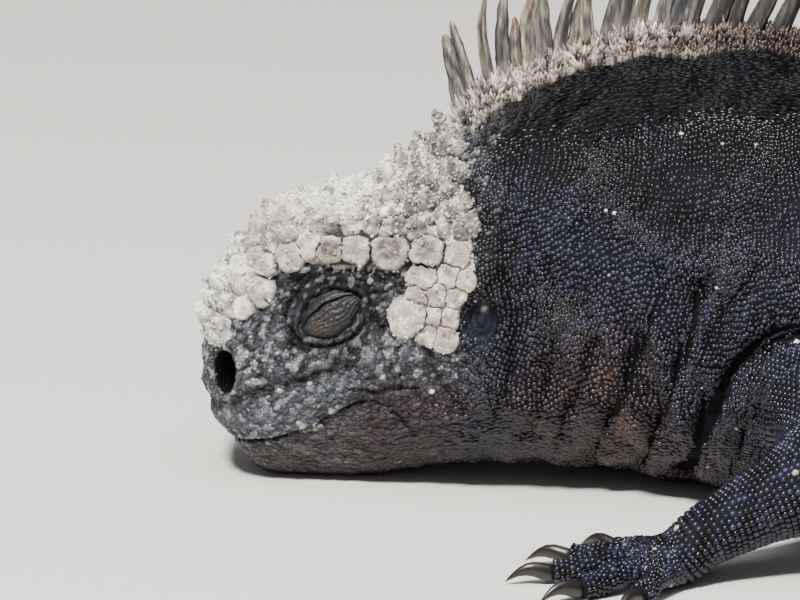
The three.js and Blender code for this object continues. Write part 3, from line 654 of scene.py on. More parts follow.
NECK_BLACK = linear("#0c0c12")
NECK_BLUE = linear("#212234")
NECK_BROWN = linear("#302227")
THROAT_BROWN = linear("#302429")
DRY_TAN = linear("#6e5a4b")
FACE_GREY = linear("#44474e")
FACE_DARK = linear("#151619")
FACE_PALE = linear("#9a9ca4")
LIP_GREY = linear("#3f434a")
LID_BROWN = linear("#43342f")
JAW_BROWN = linear("#352c2f")
SALT_WHITE = linear("#faf7f1")
SALT_CREAM = linear("#d3c8b6")
EAR_BLUE = linear("#262835")
HORN_GREY = linear("#7f7b77")
HORN_BROWN = linear("#645850")
HORN_BLUE = linear("#59606a")
BODY_GREY = linear("#33343a")
print("neck black is", NECK_BLACK.round(4))

# Distance, height and size of crumbs of dried salt below the helmet
SALT_CRUMBS = [
    (27.2, 17.4, 1.0), (30.4, 17.6, 0.8), (35, 22, 0.8), (75.5, 52.5, 0.7), (21, 27.5, 0.6), (48.5, 33, 0.6),
]

# The helmet's lower and rear border, as distance and height; above it the helmet closes over the crown
HELMET_EDGE = [
    [-3, 41], [4, 41.5], [7.5, 45.5], [10.8, 47], [15.8, 52.5], [16.6, 62.8], [22, 61.8], [27, 62.6],
    [31.6, 62], [35.6, 60.8], [42.4, 61.2], [51.8, 62.3], [54.5, 60.2], [55.2, 56], [52.4, 53],
    [53.2, 47.4], [57.5, 45.6], [61, 43.4], [64.6, 40.6], [67.6, 45], [68.6, 51], [70.4, 58], [73, 64],
    [71.6, 71.5], [69.8, 81], [68.2, 88], [66.8, 140], [-3, 140],
]


def inside(s, z, outline):
    s, z = np.atleast_1d(s), np.atleast_1d(z)
    found = np.zeros(s.shape, bool)
    for (s0, z0), (s1, z1) in zip(outline, outline[1:] + outline[:1]):
        crosses = (z0 > z) != (z1 > z)
        found ^= crosses & (s < s0 + (z - z0) * (s1 - s0) / (z1 - z0 + 1e-12))
    return found


def angle_at(s, z, side):
    """The angle round the body at which its side has the height z."""
    fine = np.linspace(0, math.pi, 1500)
    heights = bare_skin(np.full(fine.shape, s), fine, 0)[:, 2]
    return side * fine[np.argmin(np.abs(heights - z))]


def mix(a, b, share):
    share = np.clip(np.asarray(share, float), 0, 1)[..., None]
    return a * (1 - share) + b * share


def spot_frame(spot, side):
    """Middle of the nostril or the eye on one side, and the way that the skin faces there."""
    s, angle = np.array([spot["s"]]), np.array([angle_at(spot["s"], spot["z"], side)])
    return bare_skin(s, angle)[0], skin_normal(s, angle)[0]


def nostril_share(points):
    """1 in the nostrils, however deep, and 0 outside them: measured across the pit's own axis."""
    share = np.zeros(len(points))
    for side in (LEFT, RIGHT):
        middle, out = spot_frame(NOSTRIL, side)
        away = points - middle
        deep = away @ out
        across = away - deep[:, None] * out
        up = across[:, 2] / NOSTRIL["high"]
        along = np.hypot(across[:, 0], across[:, 1]) / (NOSTRIL["long"] * 1.25)
        share = np.maximum(share, step((1.12 - np.hypot(along, up)) / 0.1) * (np.abs(deep) < 8))
    return share


def marking(points):
    """Colour of the skin and scales at points given in millimetres."""
    x, y, z = points.T
    s = x - SNOUT_X
    rough = wobble(points, 30, 11)
    blotch = wobble(points, 9, 12)
    grain = wobble(points, 3.2, 13)
    # Neck: bluish black, darker towards the crest, brown and patchy low down
    colour = mix(NECK_BLACK, NECK_BLUE, 0.6 + 0.3 * rough + 0.3 * grain - 0.75 * step((z - 62) / 30))
    low = step((66 - z) / 44) * step((s - 70) / 26) * (1 - step((s - 132) / 14))
    colour = mix(colour, NECK_BROWN, low * (0.7 + 0.3 * rough))
    patch = bell((s - 104) / 26) * bell((z - 26) / 15) * np.clip(-0.2 + 0.7 * blotch, 0, 1)
    colour = mix(colour, DRY_TAN, 0.4 * patch)
    colour = colour * (1 - 0.75 * under_crest(s, z))[:, None]
    # Trunk, tail and arms
    behind = step((s - 165) / 90)
    colour = mix(colour, mix(BODY_GREY, NECK_BLACK, 0.5 + 0.3 * blotch), 0.8 * behind)
    colour = mix(colour, NECK_BROWN, behind * np.clip(0.25 * rough + 0.1, 0, 1))
    on_arm = step((np.abs(y) - 42) / 9) * step((200 - s) / 20)
    colour = mix(colour, mix(NECK_BLACK, NECK_BLUE, 0.6 + 0.4 * grain), on_arm)
    # Face: grey with pale dust, a painted highlight along the ridge over the lip, painted shade in its
    # cracks, brown on the throat
    face = step((78 + 0.12 * (z - 45) - s) / 13)
    crumbs = wobble(points, 1.9, 14)
    above = step((z - 44) / 12)
    skin_of_face = mix(FACE_GREY, FACE_DARK, 0.45 + 0.3 * blotch + 0.35 * grain + 0.3 * above)
    # Pale dust on the front of the snout, and a painted highlight along the raised ridge over the lip
    dust_and_ridge_highlight = bell(from_line(s, z, [[26, 34], [40, 39], [56, 43]]) / 6) + 0.6 * step((26 - s) / 8) * (1 - above)
    pale = np.clip(0.4 * crumbs + 1.1 * grain - 0.7 + 0.75 * dust_and_ridge_highlight, 0, 0.7)
    skin_of_face = mix(skin_of_face, FACE_PALE, pale)
    skin_of_face = skin_of_face * (1 - 0.35 * step((s - 52) / 16))[:, None]
    # Painted shade in the cracks that the relief cuts into the face
    skin_of_face = skin_of_face * (1 - 0.75 * bell(wobble(points, 5.5, 19) / 0.13))[:, None]
    throat = step((35 - z) / 8) * step((s - 38) / 8)
    skin_of_face = mix(skin_of_face, THROAT_BROWN, throat * (0.85 + 0.15 * grain))
    colour = mix(colour, skin_of_face, face)
    # Lips and jaw, with painted shade in the furrow over the lip and along the closed mouth
    over = z - mouth_height(s)[0]
    front = step((50 - s) / 10)
    colour = mix(colour, LIP_GREY, face * front * 0.55 * bell((over - 6) / 5))
    colour = mix(colour, JAW_BROWN, face * front * 0.8 * step(-over / 2))
    # Painted shade along the furrow over the upper lip
    colour = mix(colour, FACE_DARK, face * 0.75 * bell((z - furrow_height(s)[0]) / 2.2) * front)
    # A dark patch round the eye, rings of painted shade in the grooves between its folds, the nostril pits
    # painted nearly black as shade, and the dark dish and rim of the ear
    around_eye = eye_reach(s, z)
    colour = mix(colour, FACE_DARK, face * 0.55 * bell(np.maximum(around_eye - 1, 0) / 0.9))
    # Rings of painted shade in the grooves between the raised folds round the eye
    for ring, width in ((1.05, 0.05), (1.37, 0.06), (1.7, 0.07)):
        colour = colour * (1 - 0.6 * face * bell((around_eye - ring) / width))[:, None]
    # Painted shade along the closed mouth, under the overhang of the upper lip
    colour = mix(colour, FACE_DARK * 0.4, face * front * 0.9 * bell(over / 0.55))
    # The nostril pits are painted nearly black, as shade deep inside them
    hole = np.maximum(nostril_share(points), face * step((1.14 - spot_reach(NOSTRIL, s, z)) / 0.09))
    colour = mix(colour, FACE_DARK * 0.05, hole)
    ear = spot_reach(EAR, s, z)
    colour = mix(colour, EAR_BLUE * (1 + 0.5 * np.sin(ear * 22))[:, None], step((1.05 - ear) / 0.2))
    colour = mix(colour, FACE_DARK * 0.4, 0.7 * bell((ear - 1.12) / 0.14))
    # Painted shade in the folds, grains of salt, and the skin under the helmet, painted dark on the brow as
    # shade in the gaps between its plates
    for line, rise, width in CREASES + DEEP_FOLDS:
        if rise < 0:
            shade = bell(from_line(s, z, line) / (width * 0.8)) * (s < RELIEF_END)
            colour = colour * (1 - 0.68 * shade)[:, None]
    for crumb_s, crumb_z, size in SALT_CRUMBS:
        colour = mix(colour, SALT_WHITE, bell(np.hypot(s - crumb_s, z - crumb_z) / size) * (s < 80))
    helmet = inside(s, z, HELMET_EDGE) & (s < 76)
    # On the brow the skin under the plates is painted dark, as shade in the gaps between them
    on_brow = step((s - 30) / 4) * step((66 - s) / 6) * step((73 - z) / 2) * step((z - 60) / 3)
    under = mix(mix(SALT_CREAM, SALT_WHITE, 0.3 + 0.3 * grain), HORN_BROWN * 0.3, on_brow)
    colour[helmet] = under[helmet]
    return np.clip(colour, 0.001, 1)


def paint(mesh, colours):
    layer = mesh.attributes.new("Tint", "FLOAT_COLOR", "POINT")
    rgba = np.ones((len(mesh.vertices), 4), np.float32)
    rgba[:, :3] = colours
    layer.data.foreach_set("color", rgba.ravel())


def coordinates(mesh):
    co = np.empty(len(mesh.vertices) * 3)
    mesh.vertices.foreach_get("co", co)
    return co.reshape(-1, 3) / MM


spots = coordinates(body.data)
# Between the scales the skin lies in their shade, so behind the face it is painted darker than they are
UNDER_SCALES = 0.62
shade = 1 - UNDER_SCALES * step((spots[:, 0] - SNOUT_X - 66) / 14)
paint(body.data, marking(spots) * shade[:, None])
print("skin painted, mean", marking(spots).mean(axis=0).round(3))

# %% [markdown]
# ## A bed of scales
# Scales are not drawn on: each is a small raised shape of its own, set in staggered rows that follow the
# body. A granule of the face is a low dome of eighteen faces, a bead of the neck has fifteen, and a keeled
# scale has ten. Arrays place thousands of copies at once, which is far quicker than copying objects, and
# the whole bed is then a single mesh. Each scale's corners share one small patch of the map named OFBake,
# at its root's place on the unrolled skin.

# %% The shapes of one scale: along, across and up, with 1 as its size
def closed_rings(sides, rings):
    """Triangles over a stack of rings, closed by a fan round the last corner."""
    faces = []
    for r in range(rings - 1):
        for k in range(sides):
            a, b = r * sides + k, r * sides + (k + 1) % sides
            faces += [(a, b, a + sides), (b, b + sides, a + sides)]
    last = (rings - 1) * sides
    faces += [(last + k, last + (k + 1) % sides, last + sides) for k in range(sides)]
    return np.array(faces)


def dome(sides, rings, top):
    points = []
    for radius, height in rings:
        for k in range(sides):
            turn = (k + 0.5) / sides * 2 * math.pi
            points.append((radius * math.cos(turn), radius * math.sin(turn), height))
    points.append(top)
    return np.array(points), closed_rings(sides, len(rings))


GRANULE = dome(6, [(0.53, -0.6), (0.47, 0.42)], (0.1, 0, 1))
BEAD = dome(5, [(0.54, -0.6), (0.44, 0.55)], (0.08, 0, 1))
KEELED = (
    np.array([(-0.52, 0, -0.5), (0, -0.52, -0.5), (0.58, 0, -0.4), (0, 0.52, -0.5),
              (-0.3, 0, 0.35), (0.02, -0.36, 0.3), (0.02, 0.36, 0.3), (0.5, 0, 1)]),
    np.array([(0, 1, 4), (1, 5, 4), (1, 2, 5), (2, 7, 5), (4, 5, 7),
              (0, 4, 3), (3, 4, 6), (3, 6, 2), (2, 6, 7), (4, 7, 6)]),
)
print("granule", len(GRANULE[1]), "faces, keeled scale", len(KEELED[1]))


# %% Laying a bed
def mesh_of(name, points, faces):
    mesh = bpy.data.meshes.new(name)
    mesh.vertices.add(len(points))
    mesh.vertices.foreach_set("co", (points * MM).ravel())
    mesh.loops.add(faces.size)
    mesh.loops.foreach_set("vertex_index", faces.ravel().astype(np.int32))
    mesh.polygons.add(len(faces))
    mesh.polygons.foreach_set("loop_start", np.arange(0, faces.size, 3, dtype=np.int32))
    mesh.update(calc_edges=True)
    mesh.polygons.foreach_set("use_smooth", np.ones(len(faces), bool))
    return mesh


# Half the side of a scale's own patch in the map, as a share of the map
PATCH = 0.003


def bake_map(mesh, uv):
    layer = mesh.uv_layers.new(name="OFBake")
    index = np.empty(len(mesh.loops), np.int32)
    mesh.loops.foreach_get("vertex_index", index)
    layer.data.foreach_set("uv", np.clip(uv, 0.001, 0.999)[index].astype(np.float32).ravel())


def settle(points, reach, tree):
    """Moves points onto the finished skin. Returns them, its normals and a mask of those close enough."""
    found, normals, kept = np.zeros_like(points), np.zeros_like(points), np.zeros(len(points), bool)
    reaches = (reach - fold_depth(points)) * MM
    for i, point in enumerate(points):
        spot, normal, _, _ = tree.find_nearest(Vector(point * MM), reaches[i])
        if spot is not None:
            found[i], normals[i], kept[i] = np.array(spot) / MM, normal, True
    return found, normals, kept


def bed(name, shape, roots, ahead, sizes, map_places, colours, seed, contrast=0.3, salted=0.0, upright=0.0,
        reach=2.5, tree=None, tilt=0.14):
    """One mesh of scales. Sizes hold length, width and height for each root."""
    draws = np.random.default_rng(seed)
    spots, normals, kept = settle(roots, reach, tree or skin_tree)
    spots, normals, ahead = spots[kept], normals[kept], ahead[kept]
    sizes, map_places, colours = sizes[kept], map_places[kept], colours[kept]
    upward = np.array([0, 0, upright])
    normals = unit(normals * (1 - upright) + upward + tilt * draws.normal(size=normals.shape))
    ahead = unit(ahead - normals * (ahead * normals).sum(axis=1)[:, None])
    aside = np.cross(normals, ahead)
    shape_points, shape_faces = shape
    local = shape_points[None] * sizes[:, None, :]
    points = spots[:, None] + local[..., :1] * ahead[:, None] + local[..., 1:2] * aside[:, None]
    points += local[..., 2:] * normals[:, None]
    points[..., 2] = np.maximum(points[..., 2], 0.05)
    faces = shape_faces[None] + (np.arange(len(spots)) * len(shape_points))[:, None, None]
    mesh = mesh_of(name, points.reshape(-1, 3), faces.reshape(-1, 3))
    bake_map(mesh, (map_places[:, None] + shape_points[None, :, :2] * PATCH).reshape(-1, 2))
    # Each scale is painted lighter towards its top and darker towards its foot, as painted light and shade,
    # and each gets a random tone of its own
    lift = 0.72 + 0.5 * np.clip(shape_points[:, 2], 0, 1)
    shade = np.exp(draws.normal(0, contrast, (len(spots), 1, 1))) * lift[None, :, None]
    # A few scales are painted pale cream: specks of salt, which also stand in as painted glints
    salt_and_glint_grains = draws.random((len(spots), 1, 1)) < salted
    salt_and_glint_tint = mix(colours, SALT_CREAM, draws.uniform(0.25, 0.8, len(spots)))
    colours = np.where(salt_and_glint_grains, salt_and_glint_tint[:, None], colours[:, None])
    paint(mesh, np.clip(colours * shade, 0.001, 1).reshape(-1, 3))
    made = add_object(name, mesh)
    print(name, len(spots), "scales,", len(mesh.polygons), "triangles")
    return made


# %% [markdown]
# ## Rows of scales over head, neck, trunk and tail
# On the real hide the scales sit in staggered rows round the body, like bricks. Random scattering would
# leave gaps and clumps, so the rows are worked out from the slices, and then drift a little as they do on a
# living animal. On the trunk and the hind legs they are set wider than on the real animal, to keep each
# mesh light.

# %% Rows over the trunk
# Staggered rows lie this share of the spacing apart, as in a honeycomb
ROW_SHARE = 0.87


def spacing_at(s):
    return 1.16 + 1.2 * step((s - 150) / 120) + 0.9 * step((s - 400) / 80)


def rows_between(start, end, wide_share=1.0):
    """Roots in staggered rows, as distances and angles, with the local spacing."""
    fine = np.linspace(-math.pi, math.pi, 721)
    rows, s, odd = [], start, 0
    while s < end:
        gap = float(spacing_at(s))
        ring = bare_skin(np.full(fine.shape, s), fine)
        run = np.concatenate([[0], np.cumsum(np.linalg.norm(np.diff(ring, axis=0), axis=1))])
        count = max(int(run[-1] / (gap * wide_share)), 5)
        marks = (np.arange(count) + 0.5 * odd) / count * run[-1]
        rows.append(np.column_stack([np.full(count, s), np.interp(marks, run, fine), np.full(count, gap)]))
        # Where the body flares the next row comes sooner, so that the spacing over the skin stays even
        flare = bare_skin(np.array([s + 0.2]), np.array([1.2])) - bare_skin(np.array([s]), [1.2])
        s += gap * ROW_SHARE / max(np.linalg.norm(flare) / 0.2, 1)
        odd = 1 - odd
    return np.vstack(rows)


def lay(name, shape, rows, height_share, seed, keep=None, stretch=(1.0, 1.0), loose=0.09, **looks):
    draws = np.random.default_rng(seed)
    plain = bare_skin(rows[:, 0], rows[:, 1])
    # Rows bend and drift as they do on a real hide, most on the neck
    drift = step((rows[:, 0] - 66) / 20) * step((260 - rows[:, 0]) / 60)
    s = rows[:, 0] + draws.normal(0, loose, len(rows)) * rows[:, 2] + 1.7 * drift * wobble(plain, 24, 15)
    swing = draws.normal(0, loose, len(rows)) * rows[:, 2] + 1.5 * drift * wobble(plain, 28, 16)
    angle = rows[:, 1] + swing / np.maximum(section_at(s)[0], 2)
    s = np.clip(s, 0.2, BODY_LENGTH - 1)
    roots = skin(s, angle)
    later = skin(np.clip(s + 0.8, 0, BODY_LENGTH), angle)
    size = rows[:, 2] * draws.uniform(0.9 - 1.4 * loose, 1.05 + 1.2 * loose, len(rows))
    # On the throat and just under the crest the scales are drawn out lengthwise
    throat = step((32 - roots[:, 2]) / 14) * step((s - 18) / 10) * step((140 - s) / 20)
    fibre = under_crest(s, roots[:, 2])
    flat = 1 - 0.5 * step((72 - s) / 18) * (height_share > 0.2)
    sizes = np.column_stack([size * stretch[0] * (1 + 0.8 * throat + 1.3 * fibre),
                             size * stretch[1] * (1 - 0.1 * throat - 0.2 * fibre),
                             size * height_share * (1 + 0.35 * throat - 0.4 * fibre) * flat])
    span = max(rows[:, 0].max() - rows[:, 0].min(), 1)
    places = np.column_stack([(rows[:, 0] - rows[:, 0].min()) / span, (rows[:, 1] + math.pi) / (2 * math.pi)])
    places = 0.01 + 0.98 * places
    mask = np.ones(len(rows), bool) if keep is None else keep(s, angle, roots)
    return bed(name, shape, roots[mask], unit(later - roots)[mask], sizes[mask], places[mask],
               marking(roots)[mask], seed, **looks)


def clear_of_helmet(s, angle, roots):
    z = roots[:, 2]
    hole = spot_reach(NOSTRIL, s, z) < 1.22
    lids = eye_reach(s, z) < 1.8 + 0.3 * wobble(roots, 2, 18)
    dish = spot_reach(EAR, s, z) < 0.7
    return ~(inside(s, z, HELMET_EDGE) & (s < 76)) & ~hole & ~lids & ~dish


print("scales stand", spacing_at(100), "mm apart on the neck,", round(spacing_at(300), 2), "on the trunk")

# %% Sorting the rows into pieces
head_rows = rows_between(0.6, 118)
# The dull scales of the face give way to the glossy ones of the neck scale by scale, with no line between
to_neck = np.random.default_rng(20).random(len(head_rows)) < step((head_rows[:, 0] - 58) / 20)
nape_rows = head_rows[to_neck]
head_rows = head_rows[~to_neck]
neck_rows = rows_between(118, 160)
torso_rows = rows_between(160, 425)
tail_rows = rows_between(425, 1040, 0.8)
# Along the foot of the crest the scales are dull keeled fibres, mixed at the edge with the beads of the neck
band_rows = []
sorted_rows = []
for rows, seed in ((nape_rows, 24), (neck_rows, 27), (torso_rows, 29)):
    heights = skin(rows[:, 0], rows[:, 1])[:, 2]
    in_band = np.random.default_rng(seed).random(len(rows)) < 1.6 * under_crest(rows[:, 0], heights) - 0.3
    band_rows.append(rows[in_band])
    sorted_rows.append(rows[~in_band])
nape_rows, neck_rows, torso_rows = sorted_rows
band_rows = np.vstack(band_rows)
beds = (head_rows, nape_rows, neck_rows, torso_rows, tail_rows)
print(len(band_rows), "fibres and", [len(rows) for rows in beds], "places for scales")

# %% The beds of the body
coats = []
for word, side in (("left", LEFT), ("right", RIGHT)):
    half = head_rows[np.sign(head_rows[:, 1]) == side]
    coats.append(lay(f"face_scales_{word}", GRANULE, half, 0.15, 21 + side, clear_of_helmet, (1.2, 1.0), 0.26,
                     contrast=0.2, salted=0.004))
    for part, rows, seed in (("nape", nape_rows, 22), ("neck", neck_rows, 25)):
        half = rows[np.sign(rows[:, 1]) == side]
        coats.append(lay(f"{part}_scales_{word}", BEAD, half, 0.36, seed + side, clear_of_helmet,
                         (1.3, 1.1), 0.13, contrast=0.3, salted=0.0025, tilt=0.24))
    half = torso_rows[np.sign(torso_rows[:, 1]) == side]
    coats.append(lay(f"torso_scales_{word}", BEAD, half, 0.32, 31 + side, None, (1.1, 0.98), contrast=0.4))
coats.append(lay("band_scales", KEELED, band_rows, 0.75, 28, clear_of_helmet, (1.25, 1.0), 0.16, contrast=0.4,
                 tilt=0.16))
coats.append(lay("tail_scales", KEELED, tail_rows, 0.3, 41, None, (1.2, 0.8), contrast=0.3))
print(len(coats), "beds on the body")

# %% [markdown]
# ## Scales of the limbs
# Arms, legs and toes carry beads like those of the neck. Their roots are set on rings round each tube and
# then settled onto the joined skin. Roots that ended up far from it, inside the trunk, find no skin and are
# left out.

# %% Scales of the limbs and toes
# Spacing in millimetres; the hind leg's is coarser than the real one's
LIMB_SPACING = {"toe": 1.55, "arm": 1.75, "leg": 3.0}
limb_parts = {"arm": [], "leg": []}
for mesh, line, length, kind, side in limb_tubes:
    is_toe = "toe" in kind
    gap = LIMB_SPACING["toe" if is_toe else kind]
    at, odd = (2.0 if is_toe else 5.0), 0
    while at < length - 1:
        x, y, z, wide, high = (v[0] for v in line([at]))
        before, after = np.array(line([at - 0.5]))[:3, 0], np.array(line([at + 0.5]))[:3, 0]
        ahead = unit(after - before)
        across = unit(np.cross(ahead, [0, 0, 1]))
        over = np.cross(across, ahead)
        count = max(int(math.pi * (wide + high) / gap), 6)
        turn = (np.arange(count) + 0.5 * odd) / count * 2 * math.pi
        ring = np.array([x, y, z]) + across * (wide * np.cos(turn))[:, None]
        ring = ring + over * (high * np.sin(turn))[:, None]
        column = 0.5 * (side == RIGHT) + 0.5 * at / max(length, 1)
        rows = np.column_stack([ring, np.tile(ahead, (count, 1)), np.full(count, gap), np.full(count, column),
                                turn / (2 * math.pi)])
        limb_parts[kind.split("_")[0]].append(rows[ring[:, 2] > 0.4])
        at += gap * ROW_SHARE
        odd = 1 - odd
for kind, rows in limb_parts.items():
    rows = np.vstack(rows)
    draws = np.random.default_rng(51)
    size = rows[:, 6] * draws.uniform(0.85, 1.12, len(rows))
    sizes = np.column_stack([size * 1.1, size, size * 0.3])
    coats.append(bed(f"{kind}_scales", BEAD, rows[:, :3], rows[:, 3:6], sizes, rows[:, 7:9] * 0.98 + 0.01,
                     marking(rows[:, :3]), 52, contrast=0.35, salted=0.004, reach=4.5))

# %% [markdown]
# ## The helmet
# Horny plates cover the crown, and dried salt from the animal's own sneezes crusts them white. Along the
# brow they are rounded blocks with dark lines between them, on the temple they are flat, and on the crown
# and the front of the snout they stand up as blunt cones. A texture could draw them, but not their outline
# against the light. So each plate is a polygon cut by a line towards every neighbour, nearer to the smaller
# of the two, and all of them fit together like tiles.

# %% Middles of the plates
# Distance, height, rise over the skin and share of the room, along the brow, the temple and the snout's front
NAMED_PLATES = [
    (35.1, 65.7, 2.2, 1.0), (42.3, 66.0, 2.4, 1.1), (51.2, 66.8, 2.6, 1.4), (60.9, 67.0, 2.3, 1.3),
    (68.3, 66.8, 1.4, 0.9), (59.8, 60.6, 1.5, 1.1), (66.4, 61.2, 1.2, 0.9), (70.2, 60.4, 1.0, 0.8),
    (56.6, 50.4, 2.2, 1.5), (58.4, 56.0, 1.1, 0.9), (63.2, 56.2, 1.3, 1.1), (67.6, 55.6, 1.0, 0.9),
    (62.6, 50.6, 1.4, 0.8), (66.6, 50.6, 1.0, 0.9), (61.2, 45.8, 1.1, 0.9), (65.0, 45.0, 1.3, 1.0),
    (29.2, 66.4, 1.8, 1.1), (24.6, 64.0, 2.0, 1.2), (19.2, 66.6, 4.0, 1.1), (17.6, 60.6, 2.2, 0.9),
    (11.4, 56.6, 5.4, 1.6), (7.4, 49.6, 4.0, 1.1), (3.2, 44.6, 2.0, 0.8), (11.4, 49.8, 1.6, 0.9),
]
SPIKE_RISE = 3.9
draws = np.random.default_rng(17)
middles = []
for side in (LEFT, RIGHT):
    for s, z, rise, room in NAMED_PLATES:
        angle = angle_at(s, z, side)
        middles.append((*skin(np.array([s]), np.array([angle]))[0], s, angle, rise, rise < SPIKE_RISE, room))
named = len(middles)
# The rest are dropped at random over the crown, each where it keeps its distance from those before it
TRIES = 30000
tries = np.column_stack([draws.uniform(0.4, 73, TRIES), draws.uniform(-1.5, 1.5, TRIES)])
tries[:, 0] = np.where(draws.random(TRIES) < 0.3, 12 * draws.random(TRIES) ** 1.6, tries[:, 0])
spots = skin(tries[:, 0], tries[:, 1])
allowed = inside(tries[:, 0], spots[:, 2], HELMET_EDGE)
# The brow and the temple hold named plates only
allowed &= ~((tries[:, 0] > 27) & (spots[:, 2] < 70.5 + 0.03 * tries[:, 0]))
for (s, angle), spot, good in zip(tries, spots, allowed):
    if not good:
        continue
    rear = float(step((s - 44) / 10) * step((spot[2] - 74) / 5))
    least = 3.7 + 0.9 * rear + 0.7 * draws.random()
    gaps = [np.linalg.norm(spot - m[:3]) for m in middles]
    if min(gaps) < least or min(gaps[:named]) < 4.8:
        continue
    up = 2.0 + 1.3 * float(step((12 - s) / 8)) + 3.2 * rear
    middles.append((*spot, s, angle, up * draws.uniform(0.6, 1.5), 0, draws.uniform(0.75, 1.3)))
middles = np.array(middles)
print(named, "named plates,", len(middles), "in all")


# %% One plate
# Corners of its outline, half the gap between two blocks, and how far a shared border wanders, in millimetres
SPOKES = 28
GROOVE = 0.12
WAVE = 0.22


def polygon_round(centre, normal, ahead, aside, own, neighbours):
    """Reach of the plate along each spoke: the nearest border with a neighbour, drawn a little wavy."""
    turns_of = np.arange(SPOKES) / SPOKES * 2 * math.pi
    spokes = np.cos(turns_of)[:, None] * ahead + np.sin(turns_of)[:, None] * aside
    reach = np.full(SPOKES, 4.4 * own[7])
    wave_side = np.zeros(SPOKES)
    for other in neighbours:
        way = other[:3] - centre
        way = way - normal * way.dot(normal)
        size = np.linalg.norm(way)
        toward = spokes @ (way / size)
        border = size * own[7] / (own[7] + other[7])
        nearer = (toward > 0.05) & (border / np.maximum(toward, 0.05) < reach)
        reach = np.where(nearer, border / np.maximum(toward, 0.05), reach)
        wave_side = np.where(nearer, np.sign(own[0] - other[0]), wave_side)
    border_points = centre + spokes * reach[:, None]
    return spokes, reach + WAVE * wave_side * wobble(border_points, 2.6, 66)


# Outlines of a plate from foot to top: share of its reach, share of its rise, and how much it leans
BLOCK = [(1.0, -1.4, 0), (1.0, 0.5, 0), (0.98, 0.8, 0), (0.93, 0.97, 0), (0.78, 1.0, 0), (0.5, 0.93, 0),
         (0.24, 0.9, 0)]
CONE = [(1.0, -1.4, 0), (1.0, 0.06, 0), (0.9, 0.3, 0.08), (0.72, 0.54, 0.25), (0.53, 0.75, 0.5),
        (0.34, 0.9, 0.8), (0.17, 0.99, 0.96)]


def plate(row, others):
    spot, s, angle, rise, is_block = row[:3], row[3], row[4], row[5], row[6] > 0
    normal = skin_normal(np.array([s]), np.array([angle]))[0]
    faces_front = abs(normal[0]) >= 0.95
    ahead = np.array([0, 0, 1.0]) if faces_front else unit(np.array([1.0, 0, 0]) - normal * normal[0])
    ahead = unit(ahead - normal * ahead.dot(normal))
    aside = np.cross(normal, ahead)
    spokes, reach = polygon_round(spot, normal, ahead, aside, row, others)
    reach = np.maximum(reach - (GROOVE if is_block else 0), 0.8)
    soft = (np.roll(reach, 1) + np.roll(reach, -1) + 2 * reach) / 4
    reach = np.minimum(reach, soft)
    foot = spot + spokes * reach[:, None]
    found = [skin_tree.find_nearest(Vector(p * MM))[0] for p in foot]
    foot = np.array(found) / MM
    profile = BLOCK if is_block else CONE
    blunt = 0.75 + 0.5 * abs(math.sin(row[0] * 7.3 + row[1] * 3.1))
    if not is_block:
        profile = [(share ** blunt if up > 0.2 else share, up, leant) for share, up, leant in profile]
    # A cone leans up and, behind the brow, to the rear; on the snout it points forwards
    lean = np.array([0.32 if s > 24 else -0.25, 0, 0.55]) * rise * (0.0 if is_block else 0.45)
    # Towards the middle the outline turns from the polygon to a circle
    even = spot + (foot - spot) * (reach.mean() / reach)[:, None]
    rings = []
    for share, up, leant in profile:
        lift = up * (1.0 if up < 0 else rise)
        outline = foot + (even - foot) * (1 - share ** 3)
        rings.append(spot + (outline - spot) * share + normal * lift + lean * leant)
    top = spot + normal * rise * profile[-1][1] * (0.98 if is_block else 1.06) + lean
    points = np.vstack(rings + [top])
    rough = wobble(points, 1.8, 61)[:, None] * 0.07 + wobble(points, 4.5, 62)[:, None] * 0.25
    points[SPOKES:] += normal * rough[SPOKES:] * (1.0 if is_block else 1.5)
    heights = np.concatenate([np.full(SPOKES, up) for _, up, _ in profile] + [[1.05]])
    shares = np.concatenate([np.full(SPOKES, share) for share, _, _ in profile] + [[0.0]])
    local = np.vstack([np.column_stack([np.cos(np.arange(SPOKES) / SPOKES * 2 * math.pi),
                                        np.sin(np.arange(SPOKES) / SPOKES * 2 * math.pi)]) * share
                       for share, _, _ in profile] + [np.zeros((1, 2))])
    return points, heights, shares, local, is_block


print("a plate has", len(closed_rings(SPOKES, len(BLOCK))), "faces")

# %% Colours of a plate
# Line of painted shade along the crack above the row of brow plates
CRACK_SHADE_LINE = [[30, 72.4], [33, 72.6], [38, 71.8], [43, 73.4], [48, 72.3], [52.5, 74], [56, 72.2], [62, 73.5]]


